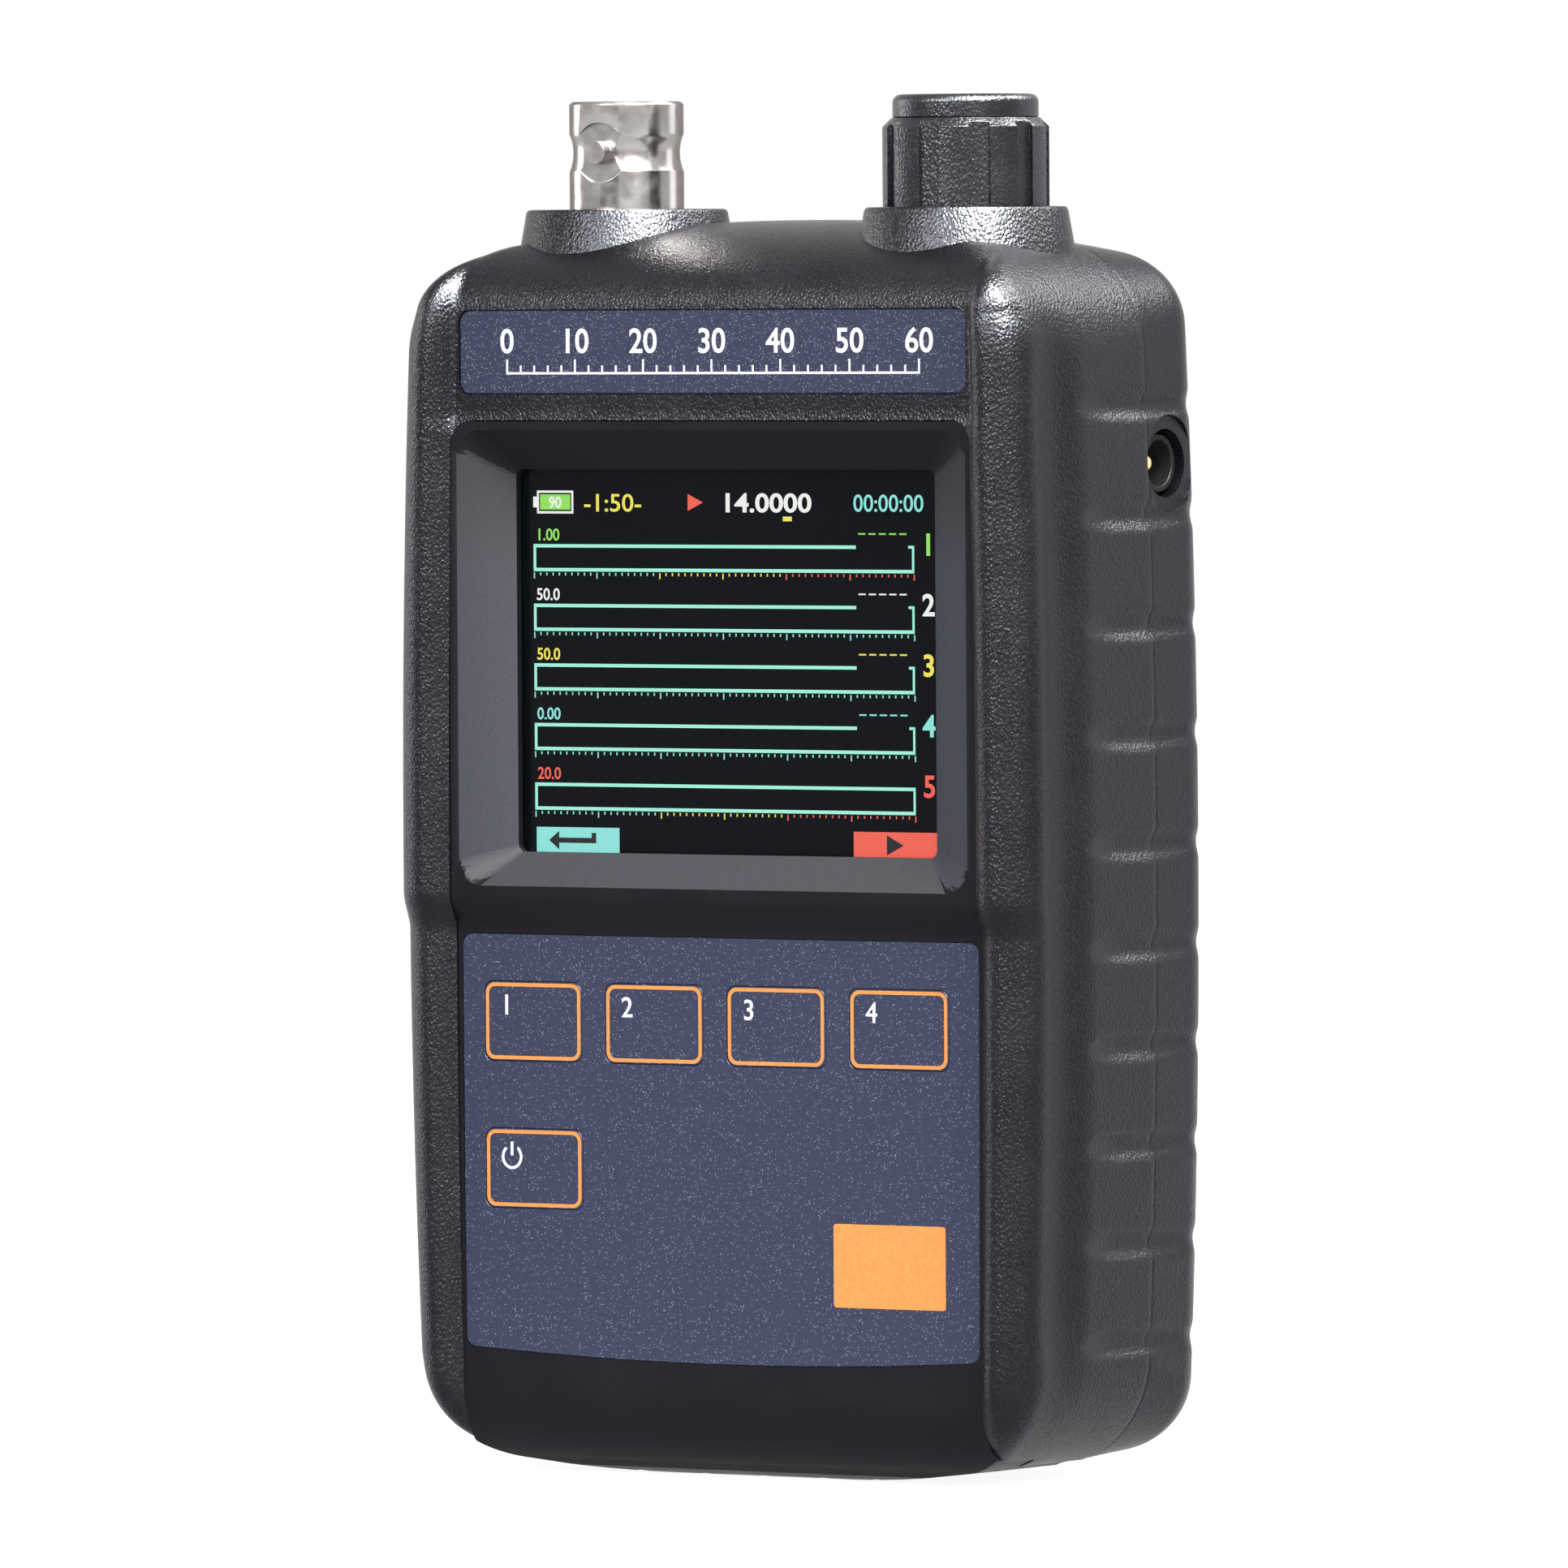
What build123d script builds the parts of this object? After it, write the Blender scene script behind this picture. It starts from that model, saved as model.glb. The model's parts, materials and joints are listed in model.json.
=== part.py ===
from build123d import *
import os
from math import cos, radians, sin, sqrt, tan

# Handheld antenna analyzer: a two-shell case with a display panel in front, a radio socket
# and a tuning knob on top, a charging socket in the side, and two boards and a battery inside.
# Millimetres. X to the right, Y to the back, Z up. The origin is under the middle of the case,
# at the level that the case stands on.

os.makedirs("parts", exist_ok=True)

# ---------------------------------------------------------------------------- driving sizes
# Case
case_width = 64.2            # across the widest part of the bowed sides
case_height = 104.3          # to the crown of the shoulder, without the two bosses
case_depth = 30.8            # from the crest of the front rails to the back
wall = 2.0
side_bow = 1.3               # how far the sides fall in towards the corners
crown = 3.4                  # how far the top falls from its middle to the corners
foot_width = 12.0            # flat land in the middle of the bottom
foot_rise = 2.5              # how far the bottom rises from the land to the corners
top_corner_r = 10.0          # corners of the front shell's outline
bottom_corner_r = 10.0
back_top_corner_r = 6.5      # corners of the outline at the back face
back_bottom_corner_r = 6.5
rail_r = 4.0                 # rounding of the front rails
back_r = 5.0                 # rounding of the back edges
draft_inset = 0.9            # how far the back shell draws in towards its back face
front_shell_depth = 19.75    # from the crest of the rails to the parting plane
fit_gap = 0.1                # between pieces that are laid into each other
running_gap = 0.05           # between a shaft or plunger and its bore

# Levels of the front, measured back from the crest of the rails
panel_level = 2.3            # reference level of the front panel
display_proud = 0.8          # how far the display end of the panel stands in front of that level
keypad_sunk = 0.2            # how far the keypad end lies behind it
rail_step = 0.85             # how far the rails fall back beside the keypad
rail_flare = 45.0            # degrees, lean of the inner side of a rail
step_below_bezel = 0.7       # from the bezel down to the soft step of the rails and the panel
step_height = 3.1

# Shoulder over the label
shoulder_rise = 7.8          # from where the front begins to roll back to the crown
shoulder_depth = 16.7        # from the crest of the rails to the crown
label_zone_level = 1.8       # label zone, measured back from the crest of the rails

# Valley and grip notches along the sides
valley_r = 3.6
valley_cut = 0.75
valley_depth_pos = 6.2       # from the crest of the rails to the middle of the valley
notch_r = 1.8
notch_cut = 0.6
notch_start = 7.8            # from the crest of the rails to the front tip of a notch
upper_notch_drop = 15.38     # from the crown down to the highest notch
upper_notch_pitch = 9.08
upper_notch_count = 5
lower_notch_z = 11.5
lower_notch_pitch = 8.18
notch_row_gap = 7.0          # at least this between the lower and the upper row
foot_notch_r = 1.7
foot_notch_cut = 0.5
foot_notch_pitch = 5.9
foot_notch_start = 5.8       # from the crest of the rails to the front tip of a foot notch
foot_notch_pairs = 4         # to each side of the middle one

# Front panel
panel_rail_width = 5.6       # of the rail beside the panel, at the middle of its bowed sides
panel_bow = 0.42
panel_mid_drop = 57.3        # from the crown down to the widest part of the panel
panel_top_drop = 16.5        # from the crown down to the top of the panel
panel_corner_r = 2.0
panel_wall = 2.4             # from the reference level to the back of the panel
panel_wrap = 8.0             # how far the panel reaches back under the case, from the reference level
panel_wrap_wall = 2.6
bottom_round = 7.0           # rounding of the panel's lower edge
ledge_width = 2.0
ledge_thickness = 1.5
web_top_z = 10.0             # top of the cross web behind the lower end of the panel

# Display opening
bezel_width = 51.1
bezel_side_rim = 0.95        # of the panel, beside the bezel
bezel_top_rim = 0.8          # of the panel, above the bezel
bezel_corner_r = 2.2
window_height = 31.9
window_side_rim = 4.5        # of the bezel, beside the window
window_top_rim = 3.3
window_bottom_rim = 2.8
window_corner_r = 0.7
lip_level = 1.46             # outer face of the window lip, behind the reference level
lip_thickness = 0.64

# Label plate
label_side_rim = 1.1         # of the panel's width, beside the label
label_height = 6.95
label_over_panel = 2.2
label_corner_r = 1.0
label_thickness = 0.4
label_inset = 0.15           # how far the plate's face lies below the label zone

# Keypad
overlay_below_step = 0.2
overlay_bottom_z = 9.6
overlay_bottom_bow = 0.9
overlay_rim = 0.4
overlay_corner_r = 1.0
overlay_thickness = 0.3
key_width = 9.85
key_height = 6.63
key_corner_r = 0.85
key_gap = 0.05
key_row_drop = 7.3           # from the top of the overlay to the middle of the upper row
first_key_inset = 7.7        # from the side of the panel to the middle of a key
last_key_inset = 8.49
key_travel = 0.3
key_pocket = 0.45

# Bosses, radio socket and tuning knob on top
boss_inset = 15.0            # from the widest part of the case to the axis of a boss
boss_axis_depth = 14.5       # from the crest of the rails to the axes of both bosses
boss_over_crown = 1.0
boss_r = 8.4                 # at the top
boss_draft = 10.0            # degrees
socket_r = 4.8               # barrel of the radio socket
socket_height = 9.0          # barrel above its boss
socket_bore_r = 4.05
socket_bore_depth = 9.2
socket_hole_gap = 0.1
waist_r = 4.47
waist_height = 3.2
waist_below_rim = 4.27
lug_r = 0.975
lug_reach = 5.45
lug_land_r = 2.5
lug_land_reach = 4.3
lug_turn = 5.0               # degrees, turn of the lugs away from the front and back
rim_chamfer = 0.25
socket_block_width = 13.0
socket_block_height = 5.5
socket_block_chamfer = 0.8
socket_block_floor = 1.0
socket_stem_r = 4.3
socket_stem_length = 2.2
socket_tail_r = 0.5
socket_tail_drop = 3.4       # from the seat down to the tail
socket_tail_gap = 0.7
contact_r = 1.05
contact_bore_r = 0.68
contact_bore_depth = 4.2
contact_below_rim = 4.6
insulator_r = 2.4
insulator_lip = 0.5          # how far the contact stands out of the insulator
pocket_r = 7.3               # pocket in the boss that the knob turns in
pocket_depth = 3.6
seat_thickness = 2.0
seat_r = 8.2                 # thick round seat inside each boss
bushing_r = 3.5
bushing_over_nut = 0.3
bushing_chamfer = 0.3
encoder_width = 12.0
encoder_height = 5.5
encoder_chamfer = 0.5
nut_across_flats = 9.0
nut_thickness = 2.0
washer_thickness = 0.5
washer_r = 5.0
shaft_r = 3.0
shaft_flat = 1.5             # depth of the flat on the shaft
shaft_foot = 1.7             # shaft inside the encoder body
shaft_below_knob = 1.25      # from the top of the knob's skirt down to the end of the shaft
knob_r = 6.9
knob_height = 7.75
knob_sink = 0.4              # how far the knob's skirt sits below the rim of its boss
knob_chamfer = 0.75
knob_skirt_r = 5.75
knob_hub_r = 4.3
knob_hub_lift = 0.9
knob_roof = 1.4
flute_count = 10
flute_width = 1.8
flute_cut = 0.42
flute_turn = 25.5            # degrees, where the first flute stands
cap_r = 6.05
cap_height = 1.95
cap_round = 0.7
cap_stem_r = 3.6
cap_stem_length = 0.8
clip_lift = 1.0
clip_height = 2.5
clip_slot = 2.4
push_travel = 0.5
plunger_r = 1.2
plunger_length = 1.6

# Charging socket in the right side
jack_from_back = 7.0         # from the back of the case to its axis
jack_drop = 20.3             # from the crown down to its axis
jack_recess_r = 4.03
jack_recess_floor = 1.6      # from the widest part of the case to the floor of the recess
jack_hole_r = 2.85
jack_nose_r = 2.4
jack_nose_sunk = 0.6
jack_nose_length = 1.3
jack_bore_r = 1.92
jack_body_length = 8.6
jack_body_width = 5.8        # front to back
jack_body_height = 6.0
jack_pin_r = 0.65
jack_pin_round = 0.3
jack_chamfer = 0.5
jack_pin_sunk = 1.0
jack_back_wall = 1.0
jack_tab_set_back = 1.6      # from the front of the jack's body to the middle of its tabs
jack_tab_width = 1.6
jack_tab_reach = 1.6

# Boards, display and battery
board_thickness = 1.6
switch_height = 5.5          # from the front board to the back of a key
switch_size = 6.0
switch_chamfer = 0.6
switch_body_height = 3.3
switch_plunger_r = 1.7
switch_plunger_seat = 0.8    # plunger inside its switch
front_board_gap = 0.6        # beside the posts of the main board
front_board_corner_r = 2.0
front_board_rim = 0.4        # above the display
front_board_foot = 3.1       # below its lower posts
display_side_rim = 2.35      # of the display, beside the window
display_top_rim = 1.3
display_bottom_rim = 2.6
display_thickness = 3.1
display_glass_thickness = 1.2
gasket_thickness = 0.3
gasket_rim = 0.6             # how far the gasket keeps clear of the window
display_tray_chamfer = 0.6
display_tape_inset = 3.0
flex_width = 12.0
flex_length = 2.8
flex_thickness = 0.15
flex_socket_height = 3.0
flex_socket_depth = 1.2
socket_end_wall = 1.0        # of a flex or ribbon socket, at each side of its film
ribbon_width = 12.0
ribbon_thickness = 0.3
ribbon_leg = 3.0
ribbon_socket_z = 24.0       # lower side of both sockets, where the ribbon goes in
ribbon_socket_height = 5.0
ribbon_socket_depth = 2.0
sheet_thickness = 0.3
shield_x = -13.0
shield_drop = 22.0           # from the top of the main board to its middle
shield_width = 20.0
shield_height = 19.0
shield_depth = 3.2
chip_thickness = 1.4
# x, distance below the top of the main board, width and height of each chip
board_chip_places = [(8, 39, 10, 10), (8, 55, 7, 5), (-10, 47, 6, 6), (-12, 61, 5, 4), (14, 23, 6, 9)]
main_board_gap = 1.9         # between its edges and the walls
main_board_bottom_z = 15.0
main_board_drop = 5.3        # from the crown down to its top
main_board_corner_r = 8.0
cell_side_gap = 0.5          # beside the screws of the main board
cell_below_jack = 5.0
cell_standoff = 0.4          # behind the main board
cell_gap = 0.4
cell_bottom_z = 16.0
cell_tape = 0.3
cell_round = 1.5
battery_board_width = 24.0
battery_board_height = 3.0
battery_board_thickness = 0.9
lead_r = 0.5
lead_pitch = 2.5
lead_length = 3.0
plug_width = 7.5
plug_height = 3.5
plug_standoff = 0.6

# Posts and screws
case_post_inset = 9.6        # from the widest part of the case
upper_case_post_drop = 13.6  # from the crown
lower_case_post_z = 10.0
case_post_r = 2.6
case_screw_r = 1.3
case_screw_head_r = 2.3
case_screw_head_height = 1.7
case_screw_grip = 6.0        # thread in the front post
case_sleeve_wall = 0.9       # around the counterbore of a case screw
counterbore_depth = 4.0
board_post_inset = 1.7       # from the edge of the main board
upper_board_post_drop = 32.3 # from the crown
lower_board_post_z = 22.0
board_post_r = 2.3
board_screw_r = 1.0
board_screw_head_r = 1.8
board_screw_head_height = 1.3
board_screw_grip = 4.0
panel_post_inset = 1.6       # from the edge of the front board
upper_panel_post_drop = 2.2  # from the lower edge of the display
lower_panel_post_x = 11.0
lower_panel_post_z = 18.6
panel_post_r = 1.7
panel_screw_r = 0.8
panel_screw_head_r = 1.5
panel_screw_head_height = 1.0
panel_screw_grip = 2.6
screw_head_round = 0.45
screw_cross_width = 0.4
screw_cross_depth = 0.6

# ---------------------------------------------------------------------------- derived places
crest_y = -case_depth / 2
back_y = case_depth / 2
parting_y = crest_y + front_shell_depth
panel_y = crest_y + panel_level
display_face_y = panel_y - display_proud
keypad_face_y = panel_y + keypad_sunk
low_crest_y = crest_y + rail_step
panel_back_y = panel_y + panel_wall
ledge_back_y = panel_back_y + ledge_thickness
label_zone_y = crest_y + label_zone_level
axis_y = crest_y + boss_axis_depth
half_width = case_width / 2
boss_x = half_width - boss_inset
panel_half_width = half_width - panel_rail_width
bezel_width = 2 * (panel_half_width - bezel_side_rim)
bezel_height = window_height + window_top_rim + window_bottom_rim
window_width = bezel_width - 2 * window_side_rim
label_width = 2 * (panel_half_width - label_side_rim)
display_width = window_width + 2 * display_side_rim
display_height = window_height + display_top_rim + display_bottom_rim
first_key_x = first_key_inset - panel_half_width
key_pitch = (panel_half_width - last_key_inset - first_key_x) / 3
boss_top_z = case_height + boss_over_crown
shoulder_z = case_height - shoulder_rise
panel_mid_z = case_height - panel_mid_drop
panel_top_z = case_height - panel_top_drop
bezel_top_z = panel_top_z - bezel_top_rim
bezel_bottom_z = bezel_top_z - bezel_height
window_top_z = bezel_top_z - window_top_rim
window_bottom_z = window_top_z - window_height
step_top_z = bezel_bottom_z - step_below_bezel
step_foot_z = step_top_z - step_height
overlay_top_z = step_foot_z - overlay_below_step
key_row_z = overlay_top_z - key_row_drop
label_bottom_z = panel_top_z + label_over_panel
display_top_z = window_top_z + display_top_rim
display_bottom_z = display_top_z - display_height
rim_z = boss_top_z + socket_height
pocket_floor_z = boss_top_z - pocket_depth
seat_bottom_z = pocket_floor_z - seat_thickness
socket_tail_z = seat_bottom_z - socket_tail_drop
overlay_back_y = keypad_face_y + overlay_thickness
front_board_y = overlay_back_y + switch_height
main_board_y = axis_y + encoder_width / 2
jack_y = back_y - jack_from_back
jack_z = case_height - jack_drop
main_board_top_z = case_height - main_board_drop
main_board_half_width = half_width - wall - main_board_gap
board_post_x = main_board_half_width - board_post_inset
front_board_half_width = board_post_x - board_post_r - front_board_gap
front_board_bottom_z = lower_panel_post_z - front_board_foot
front_board_top_z = display_top_z + front_board_rim
inner_back_y = back_y - wall
beyond = 5.0                 # how far a cutting solid reaches past what it cuts


def at_depth(y):
    """A drawing plane seen from the front, at depth y: X to the right, Z up, extruded forwards."""
    return Plane.XZ.offset(-y)


def save(piece, name):
    piece.part.label = name
    export_step(piece.part, f"parts/{name}.step")


# ---------------------------------------------------------------------------- outlines
corner_x = half_width - side_bow
side_top_z = case_height - crown
side_mid_z = (foot_rise + side_top_z) / 2
side_radius = ((side_mid_z - foot_rise) ** 2 + side_bow ** 2) / (2 * side_bow)
foot_run = corner_x - foot_width / 2
foot_radius = (foot_run ** 2 + foot_rise ** 2) / (2 * foot_rise)


def side_x(z):
    """Half the width of the case at height z, between its corners."""
    return half_width - side_radius + sqrt(side_radius ** 2 - (z - side_mid_z) ** 2)


def foot_z(x):
    """Height of the underside at x, between its corners."""
    run = max(abs(x) - foot_width / 2, 0)
    return foot_radius - sqrt(foot_radius ** 2 - run ** 2)


def outline_of_case(top_r, bottom_r):
    """Bowed outline of the case, seen from the front, with the given corner radii."""
    with BuildSketch() as outline:
        with BuildLine():
            Line((-foot_width / 2, 0), (foot_width / 2, 0))
            TangentArc((foot_width / 2, 0), (corner_x, foot_rise), tangent=(1, 0))
            ThreePointArc((corner_x, foot_rise), (half_width, side_mid_z), (corner_x, side_top_z))
            ThreePointArc((corner_x, side_top_z), (0, case_height), (-corner_x, side_top_z))
            ThreePointArc((-corner_x, side_top_z), (-half_width, side_mid_z), (-corner_x, foot_rise))
            TangentArc((-foot_width / 2, 0), (-corner_x, foot_rise), tangent=(-1, 0))
        make_face()
        fillet([v for v in vertices() if v.Y > side_mid_z], top_r)
        fillet([v for v in vertices() if abs(v.X) > foot_width and v.Y < side_mid_z / 2], bottom_r)
    return outline


case_outline = outline_of_case(top_corner_r, bottom_corner_r)
back_outline = outline_of_case(back_top_corner_r, back_bottom_corner_r)


def bowed_strip(top_z):
    """The bowed outline that the panel and the label zone share, from below the case up to top_z."""
    narrow = panel_half_width - panel_bow
    with BuildLine() as strip:
        Line((-narrow, top_z), (narrow, top_z))
        ThreePointArc((narrow, top_z), (panel_half_width, panel_mid_z), (narrow, 2 * panel_mid_z - top_z))
        Line((narrow, 2 * panel_mid_z - top_z), (-narrow, 2 * panel_mid_z - top_z))
        ThreePointArc((-narrow, 2 * panel_mid_z - top_z), (-panel_half_width, panel_mid_z), (-narrow, top_z))
    return strip.line


with BuildSketch() as well_outline:
    with BuildLine():
        add(bowed_strip(case_height + beyond))
    make_face()

with BuildSketch() as panel_outline:
    add(well_outline.sketch)
    with Locations((0, panel_top_z + case_height / 2)):
        Rectangle(case_width, case_height, mode=Mode.SUBTRACT)
    fillet([v for v in vertices() if abs(v.Y - panel_top_z) < fit_gap], panel_corner_r)

# The overlay is bounded by the panel's sides, a straight top and a bottom that bows with the foot.
overlay_side_gap = fit_gap + overlay_rim
with BuildSketch() as overlay_outline:
    add(panel_outline.sketch)
    offset(amount=-overlay_side_gap)
    with BuildLine():
        Polyline((-case_width, overlay_bottom_z + 2 * overlay_bottom_bow), (-case_width, overlay_top_z),
                 (case_width, overlay_top_z), (case_width, overlay_bottom_z + 2 * overlay_bottom_bow),
                 (panel_half_width, overlay_bottom_z + overlay_bottom_bow))
        ThreePointArc((panel_half_width, overlay_bottom_z + overlay_bottom_bow), (0, overlay_bottom_z),
                      (-panel_half_width, overlay_bottom_z + overlay_bottom_bow))
        Line((-panel_half_width, overlay_bottom_z + overlay_bottom_bow),
             (-case_width, overlay_bottom_z + 2 * overlay_bottom_bow))
    make_face(mode=Mode.INTERSECT)
    fillet(vertices(), overlay_corner_r)

key_places = {f"key_f{i + 1}": (first_key_x + i * key_pitch, key_row_z) for i in range(4)}
key_places["key_power"] = (first_key_x, key_row_z - key_pitch)

# ---------------------------------------------------------------------------- whole case, not yet split
def front_step(upper_y, lower_y):
    """The soft step between the display level and the keypad level, seen from the side."""
    middle_z = (step_top_z + step_foot_z) / 2
    return Bezier((upper_y, step_top_z), (upper_y, middle_z), (lower_y, middle_z), (lower_y, step_foot_z))


with BuildPart() as upper_rails:
    with BuildSketch(at_depth(parting_y)):
        add(case_outline.sketch)
        with Locations((0, step_foot_z - case_height / 2)):
            Rectangle(case_width + beyond, case_height, mode=Mode.SUBTRACT)
    extrude(amount=parting_y - crest_y)
    front_edges = upper_rails.edges().group_by(Axis.Y)[0]
    fillet([edge for edge in front_edges if edge.center().Z > step_top_z], rail_r)
    with BuildSketch(Plane.YZ):
        with BuildLine():
            front_step(crest_y, low_crest_y)
            Polyline((low_crest_y, step_foot_z), (crest_y - beyond, step_foot_z),
                     (crest_y - beyond, step_top_z), (crest_y, step_top_z))
        make_face()
    extrude(amount=case_width, both=True, mode=Mode.SUBTRACT)

with BuildPart() as lower_rails:
    with BuildSketch(at_depth(parting_y)):
        add(case_outline.sketch)
    extrude(amount=parting_y - low_crest_y)
    fillet(lower_rails.edges().group_by(Axis.Y)[0], rail_r)

with BuildPart() as back_block:
    with BuildSketch(at_depth(parting_y)):
        add(case_outline.sketch)
    with BuildSketch(at_depth(back_y)):
        add(back_outline.sketch)
        offset(amount=-draft_inset)
    loft(ruled=True)
    fillet(back_block.edges().group_by(Axis.Y)[-1], back_r)

wrap_end_y = keypad_face_y + bottom_round
rail_bottom_round = wrap_end_y - low_crest_y
shoulder_back_y = crest_y + shoulder_depth

# Seen from the side, the front rolls back under the case and over the shoulder.
with BuildPart() as side_profile:
    with BuildSketch(Plane.YZ):
        with BuildLine():
            Polyline((shoulder_back_y, case_height), (shoulder_back_y, case_height + beyond),
                     (back_y + beyond, case_height + beyond), (back_y + beyond, -beyond),
                     (wrap_end_y, -beyond), (wrap_end_y, 0))
            CenterArc((wrap_end_y, rail_bottom_round), rail_bottom_round, 270, -90)
            Polyline((low_crest_y, rail_bottom_round), (crest_y - beyond, rail_bottom_round),
                     (crest_y - beyond, shoulder_z), (crest_y, shoulder_z))
            EllipticalCenterArc((shoulder_back_y, shoulder_z), shoulder_depth, shoulder_rise,
                                start_angle=90, arc_size=90)
        make_face()
    extrude(amount=case_width, both=True)

# The label zone lies lower than the rails beside it and runs out over the shoulder.
label_ellipse_depth = shoulder_back_y - label_zone_y
label_ellipse_rise = shoulder_rise + fit_gap
with BuildPart() as label_zone_profile:
    with BuildSketch(Plane.YZ):
        with BuildLine():
            Polyline((shoulder_back_y, shoulder_z + label_ellipse_rise),
                     (shoulder_back_y, case_height + beyond), (crest_y - beyond, case_height + beyond),
                     (crest_y - beyond, -2 * beyond), (display_face_y, -2 * beyond),
                     (display_face_y, panel_top_z), (label_zone_y, panel_top_z), (label_zone_y, shoulder_z))
            EllipticalCenterArc((shoulder_back_y, shoulder_z), label_ellipse_depth, label_ellipse_rise,
                                start_angle=180, arc_size=-90)
        make_face()
    extrude(amount=case_width, both=True)

with BuildPart() as front_well:
    with BuildSketch(at_depth(shoulder_back_y)):
        add(well_outline.sketch)
    extrude(amount=shoulder_back_y - crest_y + beyond)
    add(label_zone_profile.part, mode=Mode.INTERSECT)
    with BuildSketch(at_depth(display_face_y)):
        add(well_outline.sketch)
    extrude(amount=beyond, taper=-rail_flare)

side_path_offset = valley_r - valley_cut
with BuildPart() as valley:
    with BuildLine(at_depth(crest_y + valley_depth_pos)) as valley_path:
        ThreePointArc((corner_x + side_path_offset, foot_rise), (half_width + side_path_offset, side_mid_z),
                      (corner_x + side_path_offset, side_top_z))
    valley_line = valley_path.line
    with BuildSketch(Plane(origin=valley_line @ 0, z_dir=valley_line % 0)):
        Circle(valley_r)
    sweep()
    mirror(about=Plane.YZ)

upper_notches = [case_height - upper_notch_drop - i * upper_notch_pitch for i in range(upper_notch_count)]
lower_notch_room = min(upper_notches) - notch_row_gap - lower_notch_z
lower_notch_count = int(lower_notch_room / lower_notch_pitch) + 1
lower_notches = [lower_notch_z + i * lower_notch_pitch for i in range(lower_notch_count)]
left_notches = [(-side_x(z) - notch_r + notch_cut, z) for z in upper_notches + lower_notches]
left_foot_notches = [(-i * foot_notch_pitch, foot_z(i * foot_notch_pitch) - foot_notch_r + foot_notch_cut)
                     for i in range(foot_notch_pairs + 1)]


def notch_cutters(places, start_y, radius, cut):
    """Scoops that grow from nothing at start_y to the depth of cut at the drafted back face."""
    growth = (cut + draft_inset) / (back_y - start_y)
    front_y = start_y - fit_gap
    end_y = back_y + beyond
    with BuildPart() as cutters:
        with Locations(*[(x, front_y, z) for x, z in places]):
            Cone(radius - cut - fit_gap * growth, radius - cut + growth * (end_y - start_y), end_y - front_y,
                 rotation=(-90, 0, 0), align=(Align.CENTER, Align.CENTER, Align.MIN))
    return cutters.part


with BuildPart() as case_block:
    add(lower_rails.part)
    add(upper_rails.part)
    add(back_block.part)
    add(side_profile.part, mode=Mode.INTERSECT)
    add(front_well.part, mode=Mode.SUBTRACT)
    add(valley.part, mode=Mode.SUBTRACT)
    # a boss at each side of the top, with room for a seat under it
    cone_height = boss_top_z - seat_bottom_z
    with Locations((-boss_x, axis_y, seat_bottom_z), (boss_x, axis_y, seat_bottom_z)):
        Cone(boss_r + cone_height * tan(radians(boss_draft)), boss_r, cone_height,
             align=(Align.CENTER, Align.CENTER, Align.MIN))
    # notches are cut into the left half, which is then mirrored
    split(bisect_by=Plane.YZ, keep=Keep.BOTTOM)
    add(notch_cutters(left_notches, crest_y + notch_start, notch_r, notch_cut), mode=Mode.SUBTRACT)
    add(notch_cutters(left_foot_notches, crest_y + foot_notch_start, foot_notch_r, foot_notch_cut),
        mode=Mode.SUBTRACT)
    mirror(about=Plane.YZ)
    with Locations((-boss_x, axis_y, seat_bottom_z - beyond)):
        Cylinder(socket_r + socket_hole_gap, 4 * beyond, align=(Align.CENTER, Align.CENTER, Align.MIN),
                 mode=Mode.SUBTRACT)
    with Locations((boss_x, axis_y, seat_bottom_z - beyond)):
        Cylinder(bushing_r + fit_gap, 4 * beyond, align=(Align.CENTER, Align.CENTER, Align.MIN),
                 mode=Mode.SUBTRACT)
    with Locations((boss_x, axis_y, pocket_floor_z)):
        Cylinder(pocket_r, 2 * beyond, align=(Align.CENTER, Align.CENTER, Align.MIN), mode=Mode.SUBTRACT)
    with Locations((half_width - jack_recess_floor, jack_y, jack_z)):
        Cylinder(jack_recess_r, beyond, rotation=(0, 90, 0), align=(Align.CENTER, Align.CENTER, Align.MIN),
                 mode=Mode.SUBTRACT)
    with Locations((half_width - jack_recess_floor - wall, jack_y, jack_z)):
        Cylinder(jack_hole_r, 2 * wall, rotation=(0, 90, 0), mode=Mode.SUBTRACT)

seat_places = [(-boss_x, axis_y, seat_bottom_z), (boss_x, axis_y, seat_bottom_z)]
front_cavity_bottom_z = panel_wrap_wall + ledge_thickness

with BuildPart() as front_cavity:
    with BuildSketch(at_depth(parting_y)):
        add(case_outline.sketch)
        offset(amount=-wall)
        with Locations((0, front_cavity_bottom_z - case_height / 2)):
            Rectangle(case_width, case_height, mode=Mode.SUBTRACT)
    extrude(amount=parting_y - ledge_back_y)
    # its roof follows the shoulder
    with BuildSketch(Plane.YZ):
        with BuildLine():
            Polyline((shoulder_back_y, case_height - wall), (shoulder_back_y, case_height + beyond),
                     (parting_y + beyond, case_height + beyond), (parting_y + beyond, -beyond),
                     (label_zone_y + wall, -beyond), (label_zone_y + wall, shoulder_z))
            EllipticalCenterArc((shoulder_back_y, shoulder_z), label_ellipse_depth - wall,
                                shoulder_rise - wall, start_angle=180, arc_size=-90)
        make_face()
    extrude(amount=case_width, both=True, mode=Mode.INTERSECT)
    with Locations(*seat_places):
        Cylinder(seat_r, beyond, align=(Align.CENTER, Align.CENTER, Align.MIN), mode=Mode.SUBTRACT)

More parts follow.
